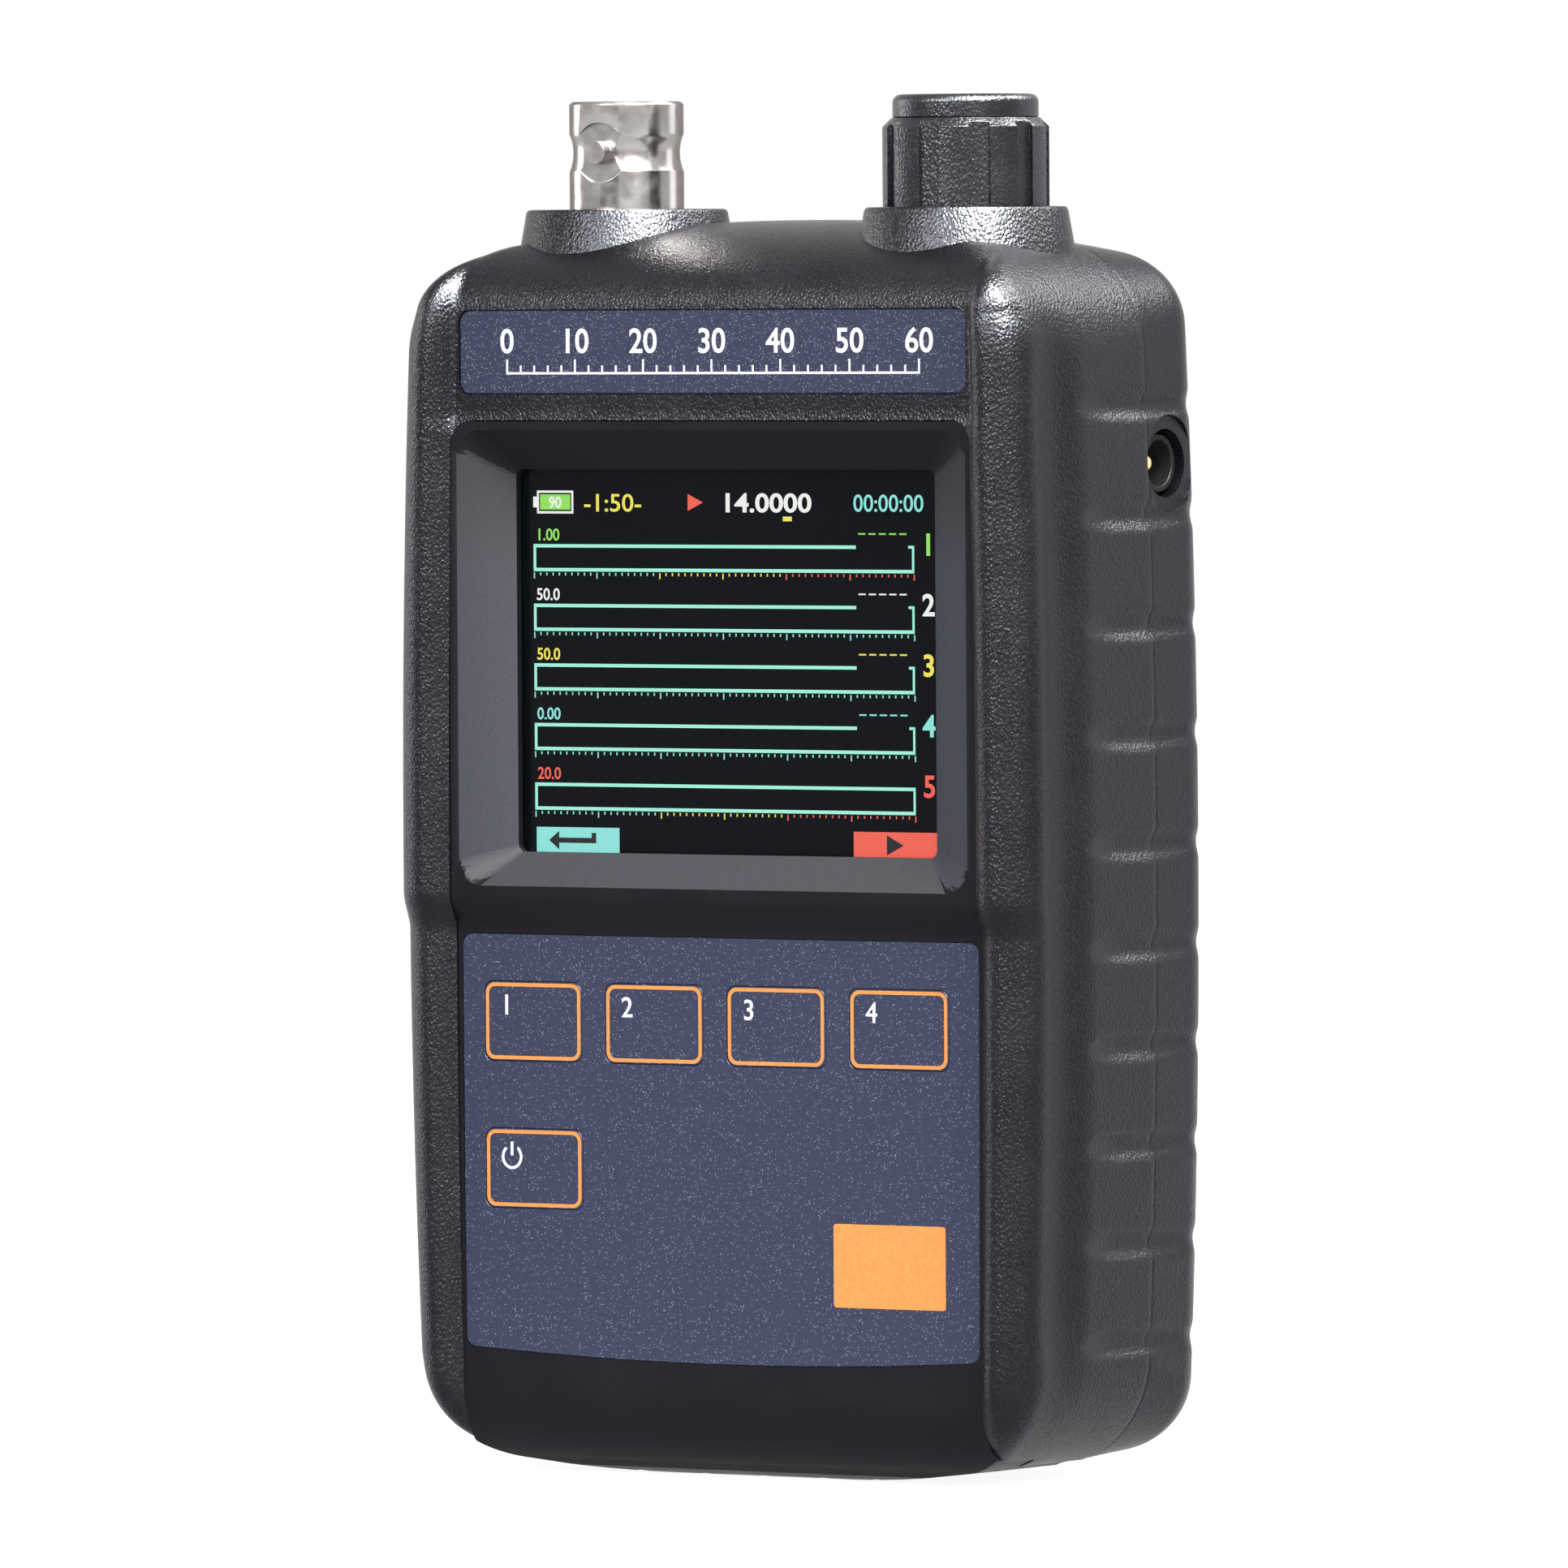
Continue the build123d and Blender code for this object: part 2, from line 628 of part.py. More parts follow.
inner_draft = draft_inset * (inner_back_y - parting_y) / (back_y - parting_y)
with BuildPart() as back_cavity:
    with BuildSketch(at_depth(parting_y)):
        add(case_outline.sketch)
        offset(amount=-wall)
    with BuildSketch(at_depth(inner_back_y)):
        add(back_outline.sketch)
        offset(amount=-wall - inner_draft)
    loft(ruled=True)
    fillet(back_cavity.edges().group_by(Axis.Y)[-1], back_r - wall)
    with Locations(*seat_places):
        Cylinder(seat_r, beyond, align=(Align.CENTER, Align.CENTER, Align.MIN), mode=Mode.SUBTRACT)


def four_places(low, high):
    """A low and a high place at each side of the middle."""
    return [(side * x, z) for side in (-1, 1) for x, z in (low, high)]


case_post_x = half_width - case_post_inset
upper_panel_post_x = front_board_half_width - panel_post_inset
case_posts = four_places((case_post_x, lower_case_post_z), (case_post_x, case_height - upper_case_post_drop))
board_posts = four_places((board_post_x, lower_board_post_z),
                          (board_post_x, case_height - upper_board_post_drop))
panel_posts = four_places((lower_panel_post_x, lower_panel_post_z),
                          (upper_panel_post_x, display_bottom_z - upper_panel_post_drop))

# ---------------------------------------------------------------------------- front shell
label_floor_y = label_zone_y + label_inset + label_thickness
label_mid_z = label_bottom_z + label_height / 2
with BuildPart() as front_shell:
    add(case_block.part)
    split(bisect_by=Plane(origin=(0, parting_y, 0), z_dir=(0, 1, 0)), keep=Keep.BOTTOM)
    add(front_cavity.part, mode=Mode.SUBTRACT)
    # pocket for the panel, its wrap under the case, and the opening behind it
    with BuildSketch(at_depth(panel_back_y)):
        add(panel_outline.sketch)
    extrude(amount=panel_back_y - crest_y + beyond, mode=Mode.SUBTRACT)
    with BuildSketch(at_depth(panel_y + panel_wrap)):
        add(panel_outline.sketch)
        with Locations((0, panel_wrap_wall + case_height / 2)):
            Rectangle(case_width, case_height, mode=Mode.SUBTRACT)
    extrude(amount=panel_wrap + beyond, mode=Mode.SUBTRACT)
    with BuildSketch(at_depth(ledge_back_y)):
        add(panel_outline.sketch)
        offset(amount=-ledge_width)
        with Locations((0, web_top_z - case_height / 2)):
            Rectangle(case_width, case_height, mode=Mode.SUBTRACT)
    extrude(amount=2 * ledge_thickness, mode=Mode.SUBTRACT)
    # shallow recess for the label plate
    with BuildSketch(at_depth(label_floor_y)):
        with Locations((0, label_mid_z)):
            RectangleRounded(label_width + fit_gap, label_height + fit_gap, label_corner_r)
    extrude(amount=beyond, mode=Mode.SUBTRACT)
    # posts for the case screws and for the main board
    with BuildSketch(at_depth(parting_y)):
        with Locations(*case_posts):
            Circle(case_post_r)
    extrude(amount=parting_y - ledge_back_y)
    with BuildSketch(at_depth(main_board_y)):
        with Locations(*board_posts):
            Circle(board_post_r)
    extrude(amount=main_board_y - ledge_back_y)
    with BuildSketch(at_depth(parting_y)):
        with Locations(*case_posts):
            Circle(case_screw_r)
    extrude(amount=case_screw_grip, mode=Mode.SUBTRACT)
    with BuildSketch(at_depth(main_board_y)):
        with Locations(*board_posts):
            Circle(board_screw_r)
    extrude(amount=board_screw_grip, mode=Mode.SUBTRACT)
save(front_shell, "front_shell")

# ---------------------------------------------------------------------------- back shell
counterbore_r = case_screw_head_r + fit_gap
screw_sleeve_r = counterbore_r + case_sleeve_wall
with BuildPart() as back_shell:
    add(case_block.part)
    split(bisect_by=Plane(origin=(0, parting_y, 0), z_dir=(0, 1, 0)), keep=Keep.TOP)
    add(back_cavity.part, mode=Mode.SUBTRACT)
    with BuildSketch(at_depth(inner_back_y)):
        with Locations(*case_posts):
            Circle(screw_sleeve_r)
    extrude(amount=inner_back_y - parting_y)
    with Locations(*[(x, parting_y, z) for x, z in case_posts]):
        Cylinder(case_screw_r + fit_gap, case_depth, rotation=(90, 0, 0), mode=Mode.SUBTRACT)
    with BuildSketch(at_depth(back_y)):
        with Locations(*case_posts):
            Circle(counterbore_r)
    extrude(amount=counterbore_depth, mode=Mode.SUBTRACT)
save(back_shell, "back_shell")

# ---------------------------------------------------------------------------- display panel
bezel_mid_z = (bezel_bottom_z + bezel_top_z) / 2
window_mid_z = (window_bottom_z + window_top_z) / 2
lip_y = panel_y + lip_level
lip_back_y = lip_y + lip_thickness
display_mid_z = (display_top_z + display_bottom_z) / 2
with BuildPart() as display_panel:
    with BuildSketch(Plane.YZ):
        with BuildLine():
            Polyline((wrap_end_y, 0), (wrap_end_y, -beyond), (panel_y + panel_wrap - fit_gap, -beyond),
                     (panel_y + panel_wrap - fit_gap, panel_wrap_wall - fit_gap),
                     (panel_back_y, panel_wrap_wall - fit_gap), (panel_back_y, panel_top_z + beyond),
                     (display_face_y, panel_top_z + beyond), (display_face_y, step_top_z))
            front_step(display_face_y, keypad_face_y)
            Line((keypad_face_y, step_foot_z), (keypad_face_y, bottom_round))
            CenterArc((wrap_end_y, bottom_round), bottom_round, 180, 90)
        make_face()
    extrude(amount=case_width, both=True)
    with BuildSketch(at_depth(panel_y + panel_wrap)):
        add(panel_outline.sketch)
        offset(amount=-fit_gap)
    extrude(amount=panel_wrap + 2 * beyond, mode=Mode.INTERSECT)
    add(case_block.part, mode=Mode.INTERSECT)
    # sloping bezel, window and the seat of the display behind it
    with BuildSketch(at_depth(lip_y)):
        with Locations((0, window_mid_z)):
            RectangleRounded(window_width, window_height, window_corner_r)
    with BuildSketch(at_depth(display_face_y)):
        with Locations((0, bezel_mid_z)):
            RectangleRounded(bezel_width, bezel_height, bezel_corner_r)
    loft(ruled=True, mode=Mode.SUBTRACT)
    with BuildSketch(at_depth(panel_back_y)):
        with Locations((0, window_mid_z)):
            RectangleRounded(window_width, window_height, window_corner_r)
    extrude(amount=panel_wall, mode=Mode.SUBTRACT)
    with BuildSketch(at_depth(panel_back_y)):
        with Locations((0, display_mid_z)):
            Rectangle(display_width + 2 * fit_gap, display_height + 2 * fit_gap)
    extrude(amount=panel_back_y - lip_back_y, mode=Mode.SUBTRACT)
    # recess for the keypad overlay, with a pocket and a plunger hole behind each key
    with BuildSketch(at_depth(overlay_back_y)):
        add(overlay_outline.sketch)
    extrude(amount=beyond, mode=Mode.SUBTRACT)
    with BuildSketch(at_depth(overlay_back_y + key_pocket)):
        with Locations(*key_places.values()):
            RectangleRounded(key_width + 2 * key_gap, key_height + 2 * key_gap, key_corner_r)
    extrude(amount=key_pocket, mode=Mode.SUBTRACT)
    with BuildSketch(at_depth(panel_back_y)):
        with Locations(*key_places.values()):
            Circle(switch_plunger_r + 2 * fit_gap)
    extrude(amount=panel_wall, mode=Mode.SUBTRACT)
    with BuildSketch(at_depth(front_board_y)):
        with Locations(*panel_posts):
            Circle(panel_post_r)
    extrude(amount=front_board_y - panel_back_y)
    with BuildSketch(at_depth(front_board_y)):
        with Locations(*panel_posts):
            Circle(panel_screw_r)
    extrude(amount=panel_screw_grip, mode=Mode.SUBTRACT)
save(display_panel, "display_panel")

# ---------------------------------------------------------------------------- label plate, overlay and keys
with BuildPart() as label_plate:
    with BuildSketch(at_depth(label_floor_y)):
        with Locations((0, label_mid_z)):
            RectangleRounded(label_width, label_height, label_corner_r)
    extrude(amount=label_thickness)
save(label_plate, "label_plate")

with BuildPart() as keypad_overlay:
    with BuildSketch(at_depth(overlay_back_y)):
        add(overlay_outline.sketch)
        offset(amount=-key_gap)
        with Locations(*key_places.values()):
            RectangleRounded(key_width + 2 * key_gap, key_height + 2 * key_gap, key_corner_r,
                             mode=Mode.SUBTRACT)
    extrude(amount=overlay_thickness)
save(keypad_overlay, "keypad_overlay")

switch_top_y = front_board_y - switch_body_height
for name, place in key_places.items():
    with BuildPart() as key:
        with BuildSketch(at_depth(overlay_back_y)):
            with Locations(place):
                RectangleRounded(key_width, key_height, key_corner_r)
        extrude(amount=overlay_thickness)
    save(key, name)
    with BuildPart() as switch_plunger:
        with BuildSketch(at_depth(switch_top_y + switch_plunger_seat)):
            with Locations(place):
                Circle(switch_plunger_r)
        extrude(amount=switch_top_y + switch_plunger_seat - overlay_back_y)
    save(switch_plunger, name.replace("key", "plunger"))

with BuildPart() as switch_bodies:
    with BuildSketch(at_depth(front_board_y)):
        with Locations(*key_places.values()):
            Rectangle(switch_size, switch_size)
    extrude(amount=switch_body_height)
    chamfer(switch_bodies.edges().filter_by(Axis.Y), switch_chamfer)
    with BuildSketch(at_depth(switch_top_y + switch_plunger_seat + key_travel + fit_gap)):
        with Locations(*key_places.values()):
            Circle(switch_plunger_r + running_gap)
    extrude(amount=switch_body_height, mode=Mode.SUBTRACT)
save(switch_bodies, "switch_bodies")

# ---------------------------------------------------------------------------- display
display_front_y = lip_back_y + gasket_thickness
display_back_y = display_front_y + display_thickness
with BuildPart() as display_gasket:
    with BuildSketch(at_depth(display_front_y)):
        with Locations((0, display_mid_z)):
            Rectangle(display_width, display_height)
        with Locations((0, window_mid_z)):
            Rectangle(window_width + 2 * gasket_rim, window_height + 2 * gasket_rim, mode=Mode.SUBTRACT)
    extrude(amount=gasket_thickness)
save(display_gasket, "display_gasket")

with BuildPart() as display_glass:
    with BuildSketch(at_depth(display_front_y + display_glass_thickness)):
        with Locations((0, display_mid_z)):
            Rectangle(display_width, display_height)
    extrude(amount=display_glass_thickness)
save(display_glass, "display_glass")

with BuildPart() as display_backlight:
    with BuildSketch(at_depth(display_back_y)):
        with Locations((0, display_mid_z)):
            Rectangle(display_width, display_height)
    extrude(amount=display_thickness - display_glass_thickness)
    chamfer(display_backlight.edges().filter_by(Axis.Y), display_tray_chamfer)
save(display_backlight, "display_backlight")

with BuildPart() as display_tape:
    with BuildSketch(at_depth(front_board_y)):
        with Locations((0, display_mid_z)):
            Rectangle(display_width - display_tape_inset, display_height - display_tape_inset)
    extrude(amount=front_board_y - display_back_y)
save(display_tape, "display_tape")

flex_socket_top_z = display_bottom_z - flex_length
with BuildPart() as display_socket:
    with BuildSketch(at_depth(front_board_y)):
        with Locations((0, flex_socket_top_z - flex_socket_height / 2)):
            Rectangle(flex_width + 2 * socket_end_wall, flex_socket_height)
    extrude(amount=flex_socket_depth)
save(display_socket, "display_socket")

with BuildPart() as display_flex:
    with BuildSketch(at_depth(front_board_y - flex_socket_depth / 2)):
        with Locations((0, (flex_socket_top_z + display_bottom_z) / 2)):
            Rectangle(flex_width, flex_length)
    extrude(amount=flex_thickness)
save(display_flex, "display_flex")

# ---------------------------------------------------------------------------- front board
front_board_height = front_board_top_z - front_board_bottom_z
front_board_back_y = front_board_y + board_thickness
with BuildPart() as front_board:
    with BuildSketch(at_depth(front_board_back_y)):
        with Locations((0, (front_board_top_z + front_board_bottom_z) / 2)):
            RectangleRounded(2 * front_board_half_width, front_board_height, front_board_corner_r)
        with Locations(*panel_posts):
            Circle(panel_screw_r + fit_gap, mode=Mode.SUBTRACT)
    extrude(amount=board_thickness)
save(front_board, "front_board")

# ---------------------------------------------------------------------------- main board and what it carries
main_board_back_y = main_board_y + board_thickness
jack_nose_x = half_width - jack_recess_floor - jack_nose_sunk
jack_front_x = jack_nose_x - jack_nose_length
jack_inner_x = jack_front_x - jack_body_length
with BuildPart() as main_board:
    with BuildSketch(at_depth(main_board_back_y)):
        with Locations((0, (main_board_top_z + main_board_bottom_z) / 2)):
            Rectangle(2 * main_board_half_width, main_board_top_z - main_board_bottom_z)
        fillet([v for v in vertices() if v.Y > side_mid_z], main_board_corner_r)
        with Locations((jack_inner_x - fit_gap, jack_z)):
            Rectangle(case_width, jack_body_height + 2 * fit_gap, align=(Align.MIN, Align.CENTER),
                      mode=Mode.SUBTRACT)
        with Locations(*[(x, z) for x, z in case_posts if z > side_mid_z]):
            Circle(screw_sleeve_r + 2 * fit_gap, mode=Mode.SUBTRACT)
        with Locations(*board_posts):
            Circle(board_screw_r + fit_gap, mode=Mode.SUBTRACT)
        with Locations((-boss_x, socket_tail_z)):
            Circle(socket_tail_r + fit_gap, mode=Mode.SUBTRACT)
    extrude(amount=board_thickness)
save(main_board, "main_board")

with BuildPart() as board_chips:
    with BuildSketch(at_depth(main_board_y)):
        for x, drop, width, height in board_chip_places:
            with Locations((x, main_board_top_z - drop)):
                Rectangle(width, height)
    extrude(amount=chip_thickness)
save(board_chips, "board_chips")

with BuildPart() as shield_can:
    with BuildSketch(at_depth(main_board_y)):
        with Locations((shield_x, main_board_top_z - shield_drop)):
            Rectangle(shield_width, shield_height)
    extrude(amount=shield_depth)
    with BuildSketch(at_depth(main_board_y)):
        with Locations((shield_x, main_board_top_z - shield_drop)):
            Rectangle(shield_width - 2 * sheet_thickness, shield_height - 2 * sheet_thickness)
    extrude(amount=shield_depth - sheet_thickness, mode=Mode.SUBTRACT)
save(shield_can, "shield_can")

# Flat cable that loops below two sockets, one on each board
ribbon_front_y = front_board_back_y + ribbon_socket_depth / 2
ribbon_back_y = main_board_y - ribbon_socket_depth / 2
ribbon_r = (ribbon_back_y - ribbon_front_y) / 2
ribbon_mid_y = (ribbon_back_y + ribbon_front_y) / 2
with BuildPart() as ribbon_sockets:
    for socket_y in (front_board_back_y + ribbon_socket_depth, main_board_y):
        with BuildSketch(at_depth(socket_y)):
            with Locations((0, ribbon_socket_z + ribbon_socket_height / 2)):
                Rectangle(ribbon_width + 2 * socket_end_wall, ribbon_socket_height)
        extrude(amount=ribbon_socket_depth)
save(ribbon_sockets, "ribbon_sockets")

with BuildPart() as board_ribbon:
    with BuildSketch(Plane.YZ):
        with Locations((ribbon_mid_y, ribbon_socket_z - ribbon_leg)):
            Circle(ribbon_r + ribbon_thickness / 2)
            Circle(ribbon_r - ribbon_thickness / 2, mode=Mode.SUBTRACT)
            Rectangle(4 * ribbon_r, 2 * ribbon_r, align=(Align.CENTER, Align.MIN), mode=Mode.SUBTRACT)
        with Locations((ribbon_front_y, ribbon_socket_z), (ribbon_back_y, ribbon_socket_z)):
            Rectangle(ribbon_thickness, ribbon_leg, align=(Align.CENTER, Align.MAX))
    extrude(amount=ribbon_width / 2, both=True)
save(board_ribbon, "board_ribbon")

# ---------------------------------------------------------------------------- radio socket
socket_floor_z = rim_z - socket_bore_depth
socket_block_bottom_z = seat_bottom_z - socket_block_height
stem_bottom_z = seat_bottom_z - socket_stem_length
with BuildPart() as socket_block:
    with BuildSketch(Plane.XY.offset(socket_block_bottom_z)):
        with Locations((-boss_x, axis_y)):
            Rectangle(socket_block_width, encoder_width)
    extrude(amount=socket_block_height)
    chamfer(socket_block.edges().filter_by(Axis.Z), socket_block_chamfer)
    with Locations((-boss_x, axis_y, socket_block_bottom_z + socket_block_floor)):
        Cylinder(socket_stem_r, socket_block_height, align=(Align.CENTER, Align.CENTER, Align.MIN),
                 mode=Mode.SUBTRACT)
    with Locations((-boss_x, axis_y, socket_tail_z)):
        Cylinder(socket_tail_r + socket_tail_gap, encoder_width, rotation=(-90, 0, 0),
                 align=(Align.CENTER, Align.CENTER, Align.MIN), mode=Mode.SUBTRACT)
save(socket_block, "socket_block")

waist_z = rim_z - waist_below_rim
waist_depth = socket_r - waist_r
waist_sweep_r = (waist_depth ** 2 + (waist_height / 2) ** 2) / (2 * waist_depth)
with BuildPart() as socket_barrel:
    with Locations((-boss_x, axis_y, stem_bottom_z)):
        Cylinder(socket_stem_r, seat_bottom_z - stem_bottom_z, align=(Align.CENTER, Align.CENTER, Align.MIN))
    with Locations((-boss_x, axis_y, seat_bottom_z)):
        Cylinder(socket_r, rim_z - seat_bottom_z, align=(Align.CENTER, Align.CENTER, Align.MIN))
    chamfer(socket_barrel.edges().group_by(Axis.Z)[-1], rim_chamfer)
    # the waist is a shallow round groove
    with BuildSketch(Plane.XZ.offset(-axis_y)):
        with Locations((-boss_x + waist_r + waist_sweep_r, waist_z)):
            Circle(waist_sweep_r)
    revolve(axis=Axis((-boss_x, axis_y, 0), (0, 0, 1)), revolution_arc=360, mode=Mode.SUBTRACT)
    # a flat round land around each bayonet lug
    for turn in (lug_turn, lug_turn + 180):
        lug_direction = (sin(radians(turn)), -cos(radians(turn)), 0)
        outwards = Plane(origin=(-boss_x, axis_y, waist_z), z_dir=lug_direction)
        with BuildSketch(outwards.offset(lug_land_reach)):
            Circle(lug_land_r)
        extrude(amount=beyond, mode=Mode.SUBTRACT)
        with BuildSketch(outwards.offset(lug_land_reach)):
            Circle(lug_r)
        extrude(amount=lug_reach - lug_land_reach)
    with Locations((-boss_x, axis_y, socket_floor_z)):
        Cylinder(socket_bore_r, 2 * socket_height, align=(Align.CENTER, Align.CENTER, Align.MIN),
                 mode=Mode.SUBTRACT)
    with Locations((-boss_x, axis_y, stem_bottom_z)):
        Cylinder(insulator_r, 2 * socket_height, align=(Align.CENTER, Align.CENTER, Align.MIN),
                 mode=Mode.SUBTRACT)
save(socket_barrel, "socket_barrel")

contact_top_z = rim_z - contact_below_rim
with BuildPart() as socket_insulator:
    with Locations((-boss_x, axis_y, stem_bottom_z)):
        Cylinder(insulator_r, contact_top_z - insulator_lip - stem_bottom_z,
                 align=(Align.CENTER, Align.CENTER, Align.MIN))
        Cylinder(contact_r, 2 * socket_height, align=(Align.CENTER, Align.CENTER, Align.MIN),
                 mode=Mode.SUBTRACT)
save(socket_insulator, "socket_insulator")

with BuildPart() as socket_contact:
    with Locations((-boss_x, axis_y, socket_tail_z - socket_tail_r)):
        Cylinder(contact_r, contact_top_z - socket_tail_z + socket_tail_r,
                 align=(Align.CENTER, Align.CENTER, Align.MIN))
    with Locations((-boss_x, axis_y, socket_tail_z)):
        Cylinder(socket_tail_r, main_board_back_y - axis_y, rotation=(-90, 0, 0),
                 align=(Align.CENTER, Align.CENTER, Align.MIN))
    with Locations((-boss_x, axis_y, contact_top_z)):
        Cylinder(contact_bore_r, contact_bore_depth, align=(Align.CENTER, Align.CENTER, Align.MAX),
                 mode=Mode.SUBTRACT)
save(socket_contact, "socket_contact")

# ---------------------------------------------------------------------------- tuning encoder
encoder_bottom_z = seat_bottom_z - encoder_height
shaft_bottom_z = seat_bottom_z - shaft_foot
plunger_top_z = shaft_bottom_z - running_gap
nut_bottom_z = pocket_floor_z + washer_thickness
bushing_top_z = nut_bottom_z + nut_thickness + bushing_over_nut
bore_bottom_z = shaft_bottom_z - push_travel - 2 * fit_gap
with BuildPart() as encoder_body:
    with BuildSketch(Plane.XY.offset(encoder_bottom_z)):
        with Locations((boss_x, axis_y)):
            Rectangle(encoder_width, encoder_width)
    extrude(amount=encoder_height)
    chamfer(encoder_body.edges().filter_by(Axis.Z), encoder_chamfer)
    with Locations((boss_x, axis_y, bore_bottom_z)):
        Cylinder(shaft_r + running_gap, encoder_height, align=(Align.CENTER, Align.CENTER, Align.MIN),
                 mode=Mode.SUBTRACT)
    with Locations((boss_x, axis_y, plunger_top_z - plunger_length - push_travel - 2 * fit_gap)):
        Cylinder(plunger_r + running_gap, encoder_height, align=(Align.CENTER, Align.CENTER, Align.MIN),
                 mode=Mode.SUBTRACT)
save(encoder_body, "encoder_body")

with BuildPart() as encoder_bushing:
    with Locations((boss_x, axis_y, seat_bottom_z)):
        Cylinder(bushing_r, bushing_top_z - seat_bottom_z, align=(Align.CENTER, Align.CENTER, Align.MIN))
    chamfer(encoder_bushing.edges().group_by(Axis.Z)[-1], bushing_chamfer)
    with Locations((boss_x, axis_y, seat_bottom_z)):
        Cylinder(shaft_r + running_gap, case_height, mode=Mode.SUBTRACT)
save(encoder_bushing, "encoder_bushing")

with BuildPart() as encoder_washer:
    with BuildSketch(Plane.XY.offset(pocket_floor_z)):
        with Locations((boss_x, axis_y)):
            Circle(washer_r)
            Circle(bushing_r, mode=Mode.SUBTRACT)
    extrude(amount=washer_thickness)
save(encoder_washer, "encoder_washer")

with BuildPart() as encoder_nut:
    with BuildSketch(Plane.XY.offset(nut_bottom_z)):
        with Locations((boss_x, axis_y)):
            RegularPolygon(nut_across_flats / 2, 6, major_radius=False)
            Circle(bushing_r, mode=Mode.SUBTRACT)
    extrude(amount=nut_thickness)
save(encoder_nut, "encoder_nut")

with BuildPart() as push_plunger:
    with Locations((boss_x, axis_y, plunger_top_z)):
        Cylinder(plunger_r, plunger_length, align=(Align.CENTER, Align.CENTER, Align.MAX))
save(push_plunger, "push_plunger")


def shaft_section():
    """The shaft's round section with its flat, for the shaft and for the bore of the knob."""
    with BuildSketch() as section:
        with Locations((boss_x, axis_y)):
            Circle(shaft_r)
        with Locations((boss_x, axis_y - shaft_r)):
            Rectangle(2 * shaft_r, shaft_flat, align=(Align.CENTER, Align.MIN), mode=Mode.SUBTRACT)
    return section.sketch


knob_bottom_z = boss_top_z - knob_sink
knob_top_z = knob_bottom_z + knob_height
shaft_top_z = knob_top_z - shaft_below_knob
hub_bottom_z = knob_bottom_z + knob_hub_lift
roof_bottom_z = knob_top_z - knob_roof
with BuildPart() as encoder_shaft:
    with Locations((boss_x, axis_y, shaft_bottom_z)):
        Cylinder(shaft_r, hub_bottom_z - shaft_bottom_z, align=(Align.CENTER, Align.CENTER, Align.MIN))
    with BuildSketch(Plane.XY.offset(hub_bottom_z)):
        add(shaft_section())
    extrude(amount=shaft_top_z - hub_bottom_z)
save(encoder_shaft, "encoder_shaft")

# ---------------------------------------------------------------------------- knob
with BuildPart() as knob:
    with Locations((boss_x, axis_y, knob_bottom_z)):
        Cylinder(knob_r, knob_top_z - knob_bottom_z, align=(Align.CENTER, Align.CENTER, Align.MIN))
    chamfer(knob.edges().group_by(Axis.Z)[-1], knob_chamfer)
    with BuildSketch(Plane.XY.offset(knob_bottom_z)):
        with Locations((boss_x, axis_y)):
            Circle(knob_skirt_r)
            Circle(knob_hub_r, mode=Mode.SUBTRACT)
    extrude(amount=roof_bottom_z - knob_bottom_z, mode=Mode.SUBTRACT)
    with Locations((boss_x, axis_y, knob_bottom_z)):
        Cylinder(knob_hub_r, knob_hub_lift, align=(Align.CENTER, Align.CENTER, Align.MIN), mode=Mode.SUBTRACT)
    with BuildSketch(Plane.XY.offset(hub_bottom_z)):
        add(shaft_section())
    extrude(amount=shaft_top_z - hub_bottom_z, mode=Mode.SUBTRACT)
    with Locations((boss_x, axis_y, knob_top_z)):
        Cylinder(cap_stem_r, cap_stem_length, align=(Align.CENTER, Align.CENTER, Align.MAX),
                 mode=Mode.SUBTRACT)
    with BuildSketch(Plane.XY.offset(knob_bottom_z)):
        with Locations((boss_x, axis_y)):
            with PolarLocations(knob_r - flute_cut, flute_count, start_angle=flute_turn):
                Rectangle(beyond, flute_width, align=(Align.MIN, Align.CENTER))
    extrude(amount=knob_top_z - knob_bottom_z, mode=Mode.SUBTRACT)
save(knob, "knob")

with BuildPart() as knob_cap:
    with Locations((boss_x, axis_y, knob_top_z)):
        Cylinder(cap_r, cap_height, align=(Align.CENTER, Align.CENTER, Align.MIN))
    fillet(knob_cap.edges().group_by(Axis.Z)[-1], cap_round)
    with Locations((boss_x, axis_y, knob_top_z)):
        Cylinder(cap_stem_r, cap_stem_length, align=(Align.CENTER, Align.CENTER, Align.MAX))
save(knob_cap, "knob_cap")

with BuildPart() as knob_clip:
    with BuildSketch(Plane.XY.offset(hub_bottom_z + clip_lift)):
        with Locations((boss_x, axis_y)):
            Circle(knob_hub_r + sheet_thickness)
            Circle(knob_hub_r, mode=Mode.SUBTRACT)
            Rectangle(2 * knob_r, clip_slot, align=(Align.MIN, Align.CENTER), mode=Mode.SUBTRACT)
    extrude(amount=clip_height)
save(knob_clip, "knob_clip")

# ---------------------------------------------------------------------------- charging socket
with BuildPart() as jack_housing:
    with Locations(((jack_front_x + jack_inner_x) / 2, jack_y, jack_z)):
        Box(jack_body_length, jack_body_width, jack_body_height)
    chamfer(jack_housing.edges().filter_by(Axis.X), jack_chamfer)
    with Locations((jack_front_x, jack_y, jack_z)):
        Cylinder(jack_nose_r, jack_nose_length, rotation=(0, 90, 0),
                 align=(Align.CENTER, Align.CENTER, Align.MIN))
    with Locations((jack_inner_x + jack_back_wall, jack_y, jack_z)):
        Cylinder(jack_bore_r, case_width, rotation=(0, 90, 0), align=(Align.CENTER, Align.CENTER, Align.MIN),
                 mode=Mode.SUBTRACT)
save(jack_housing, "jack_housing")

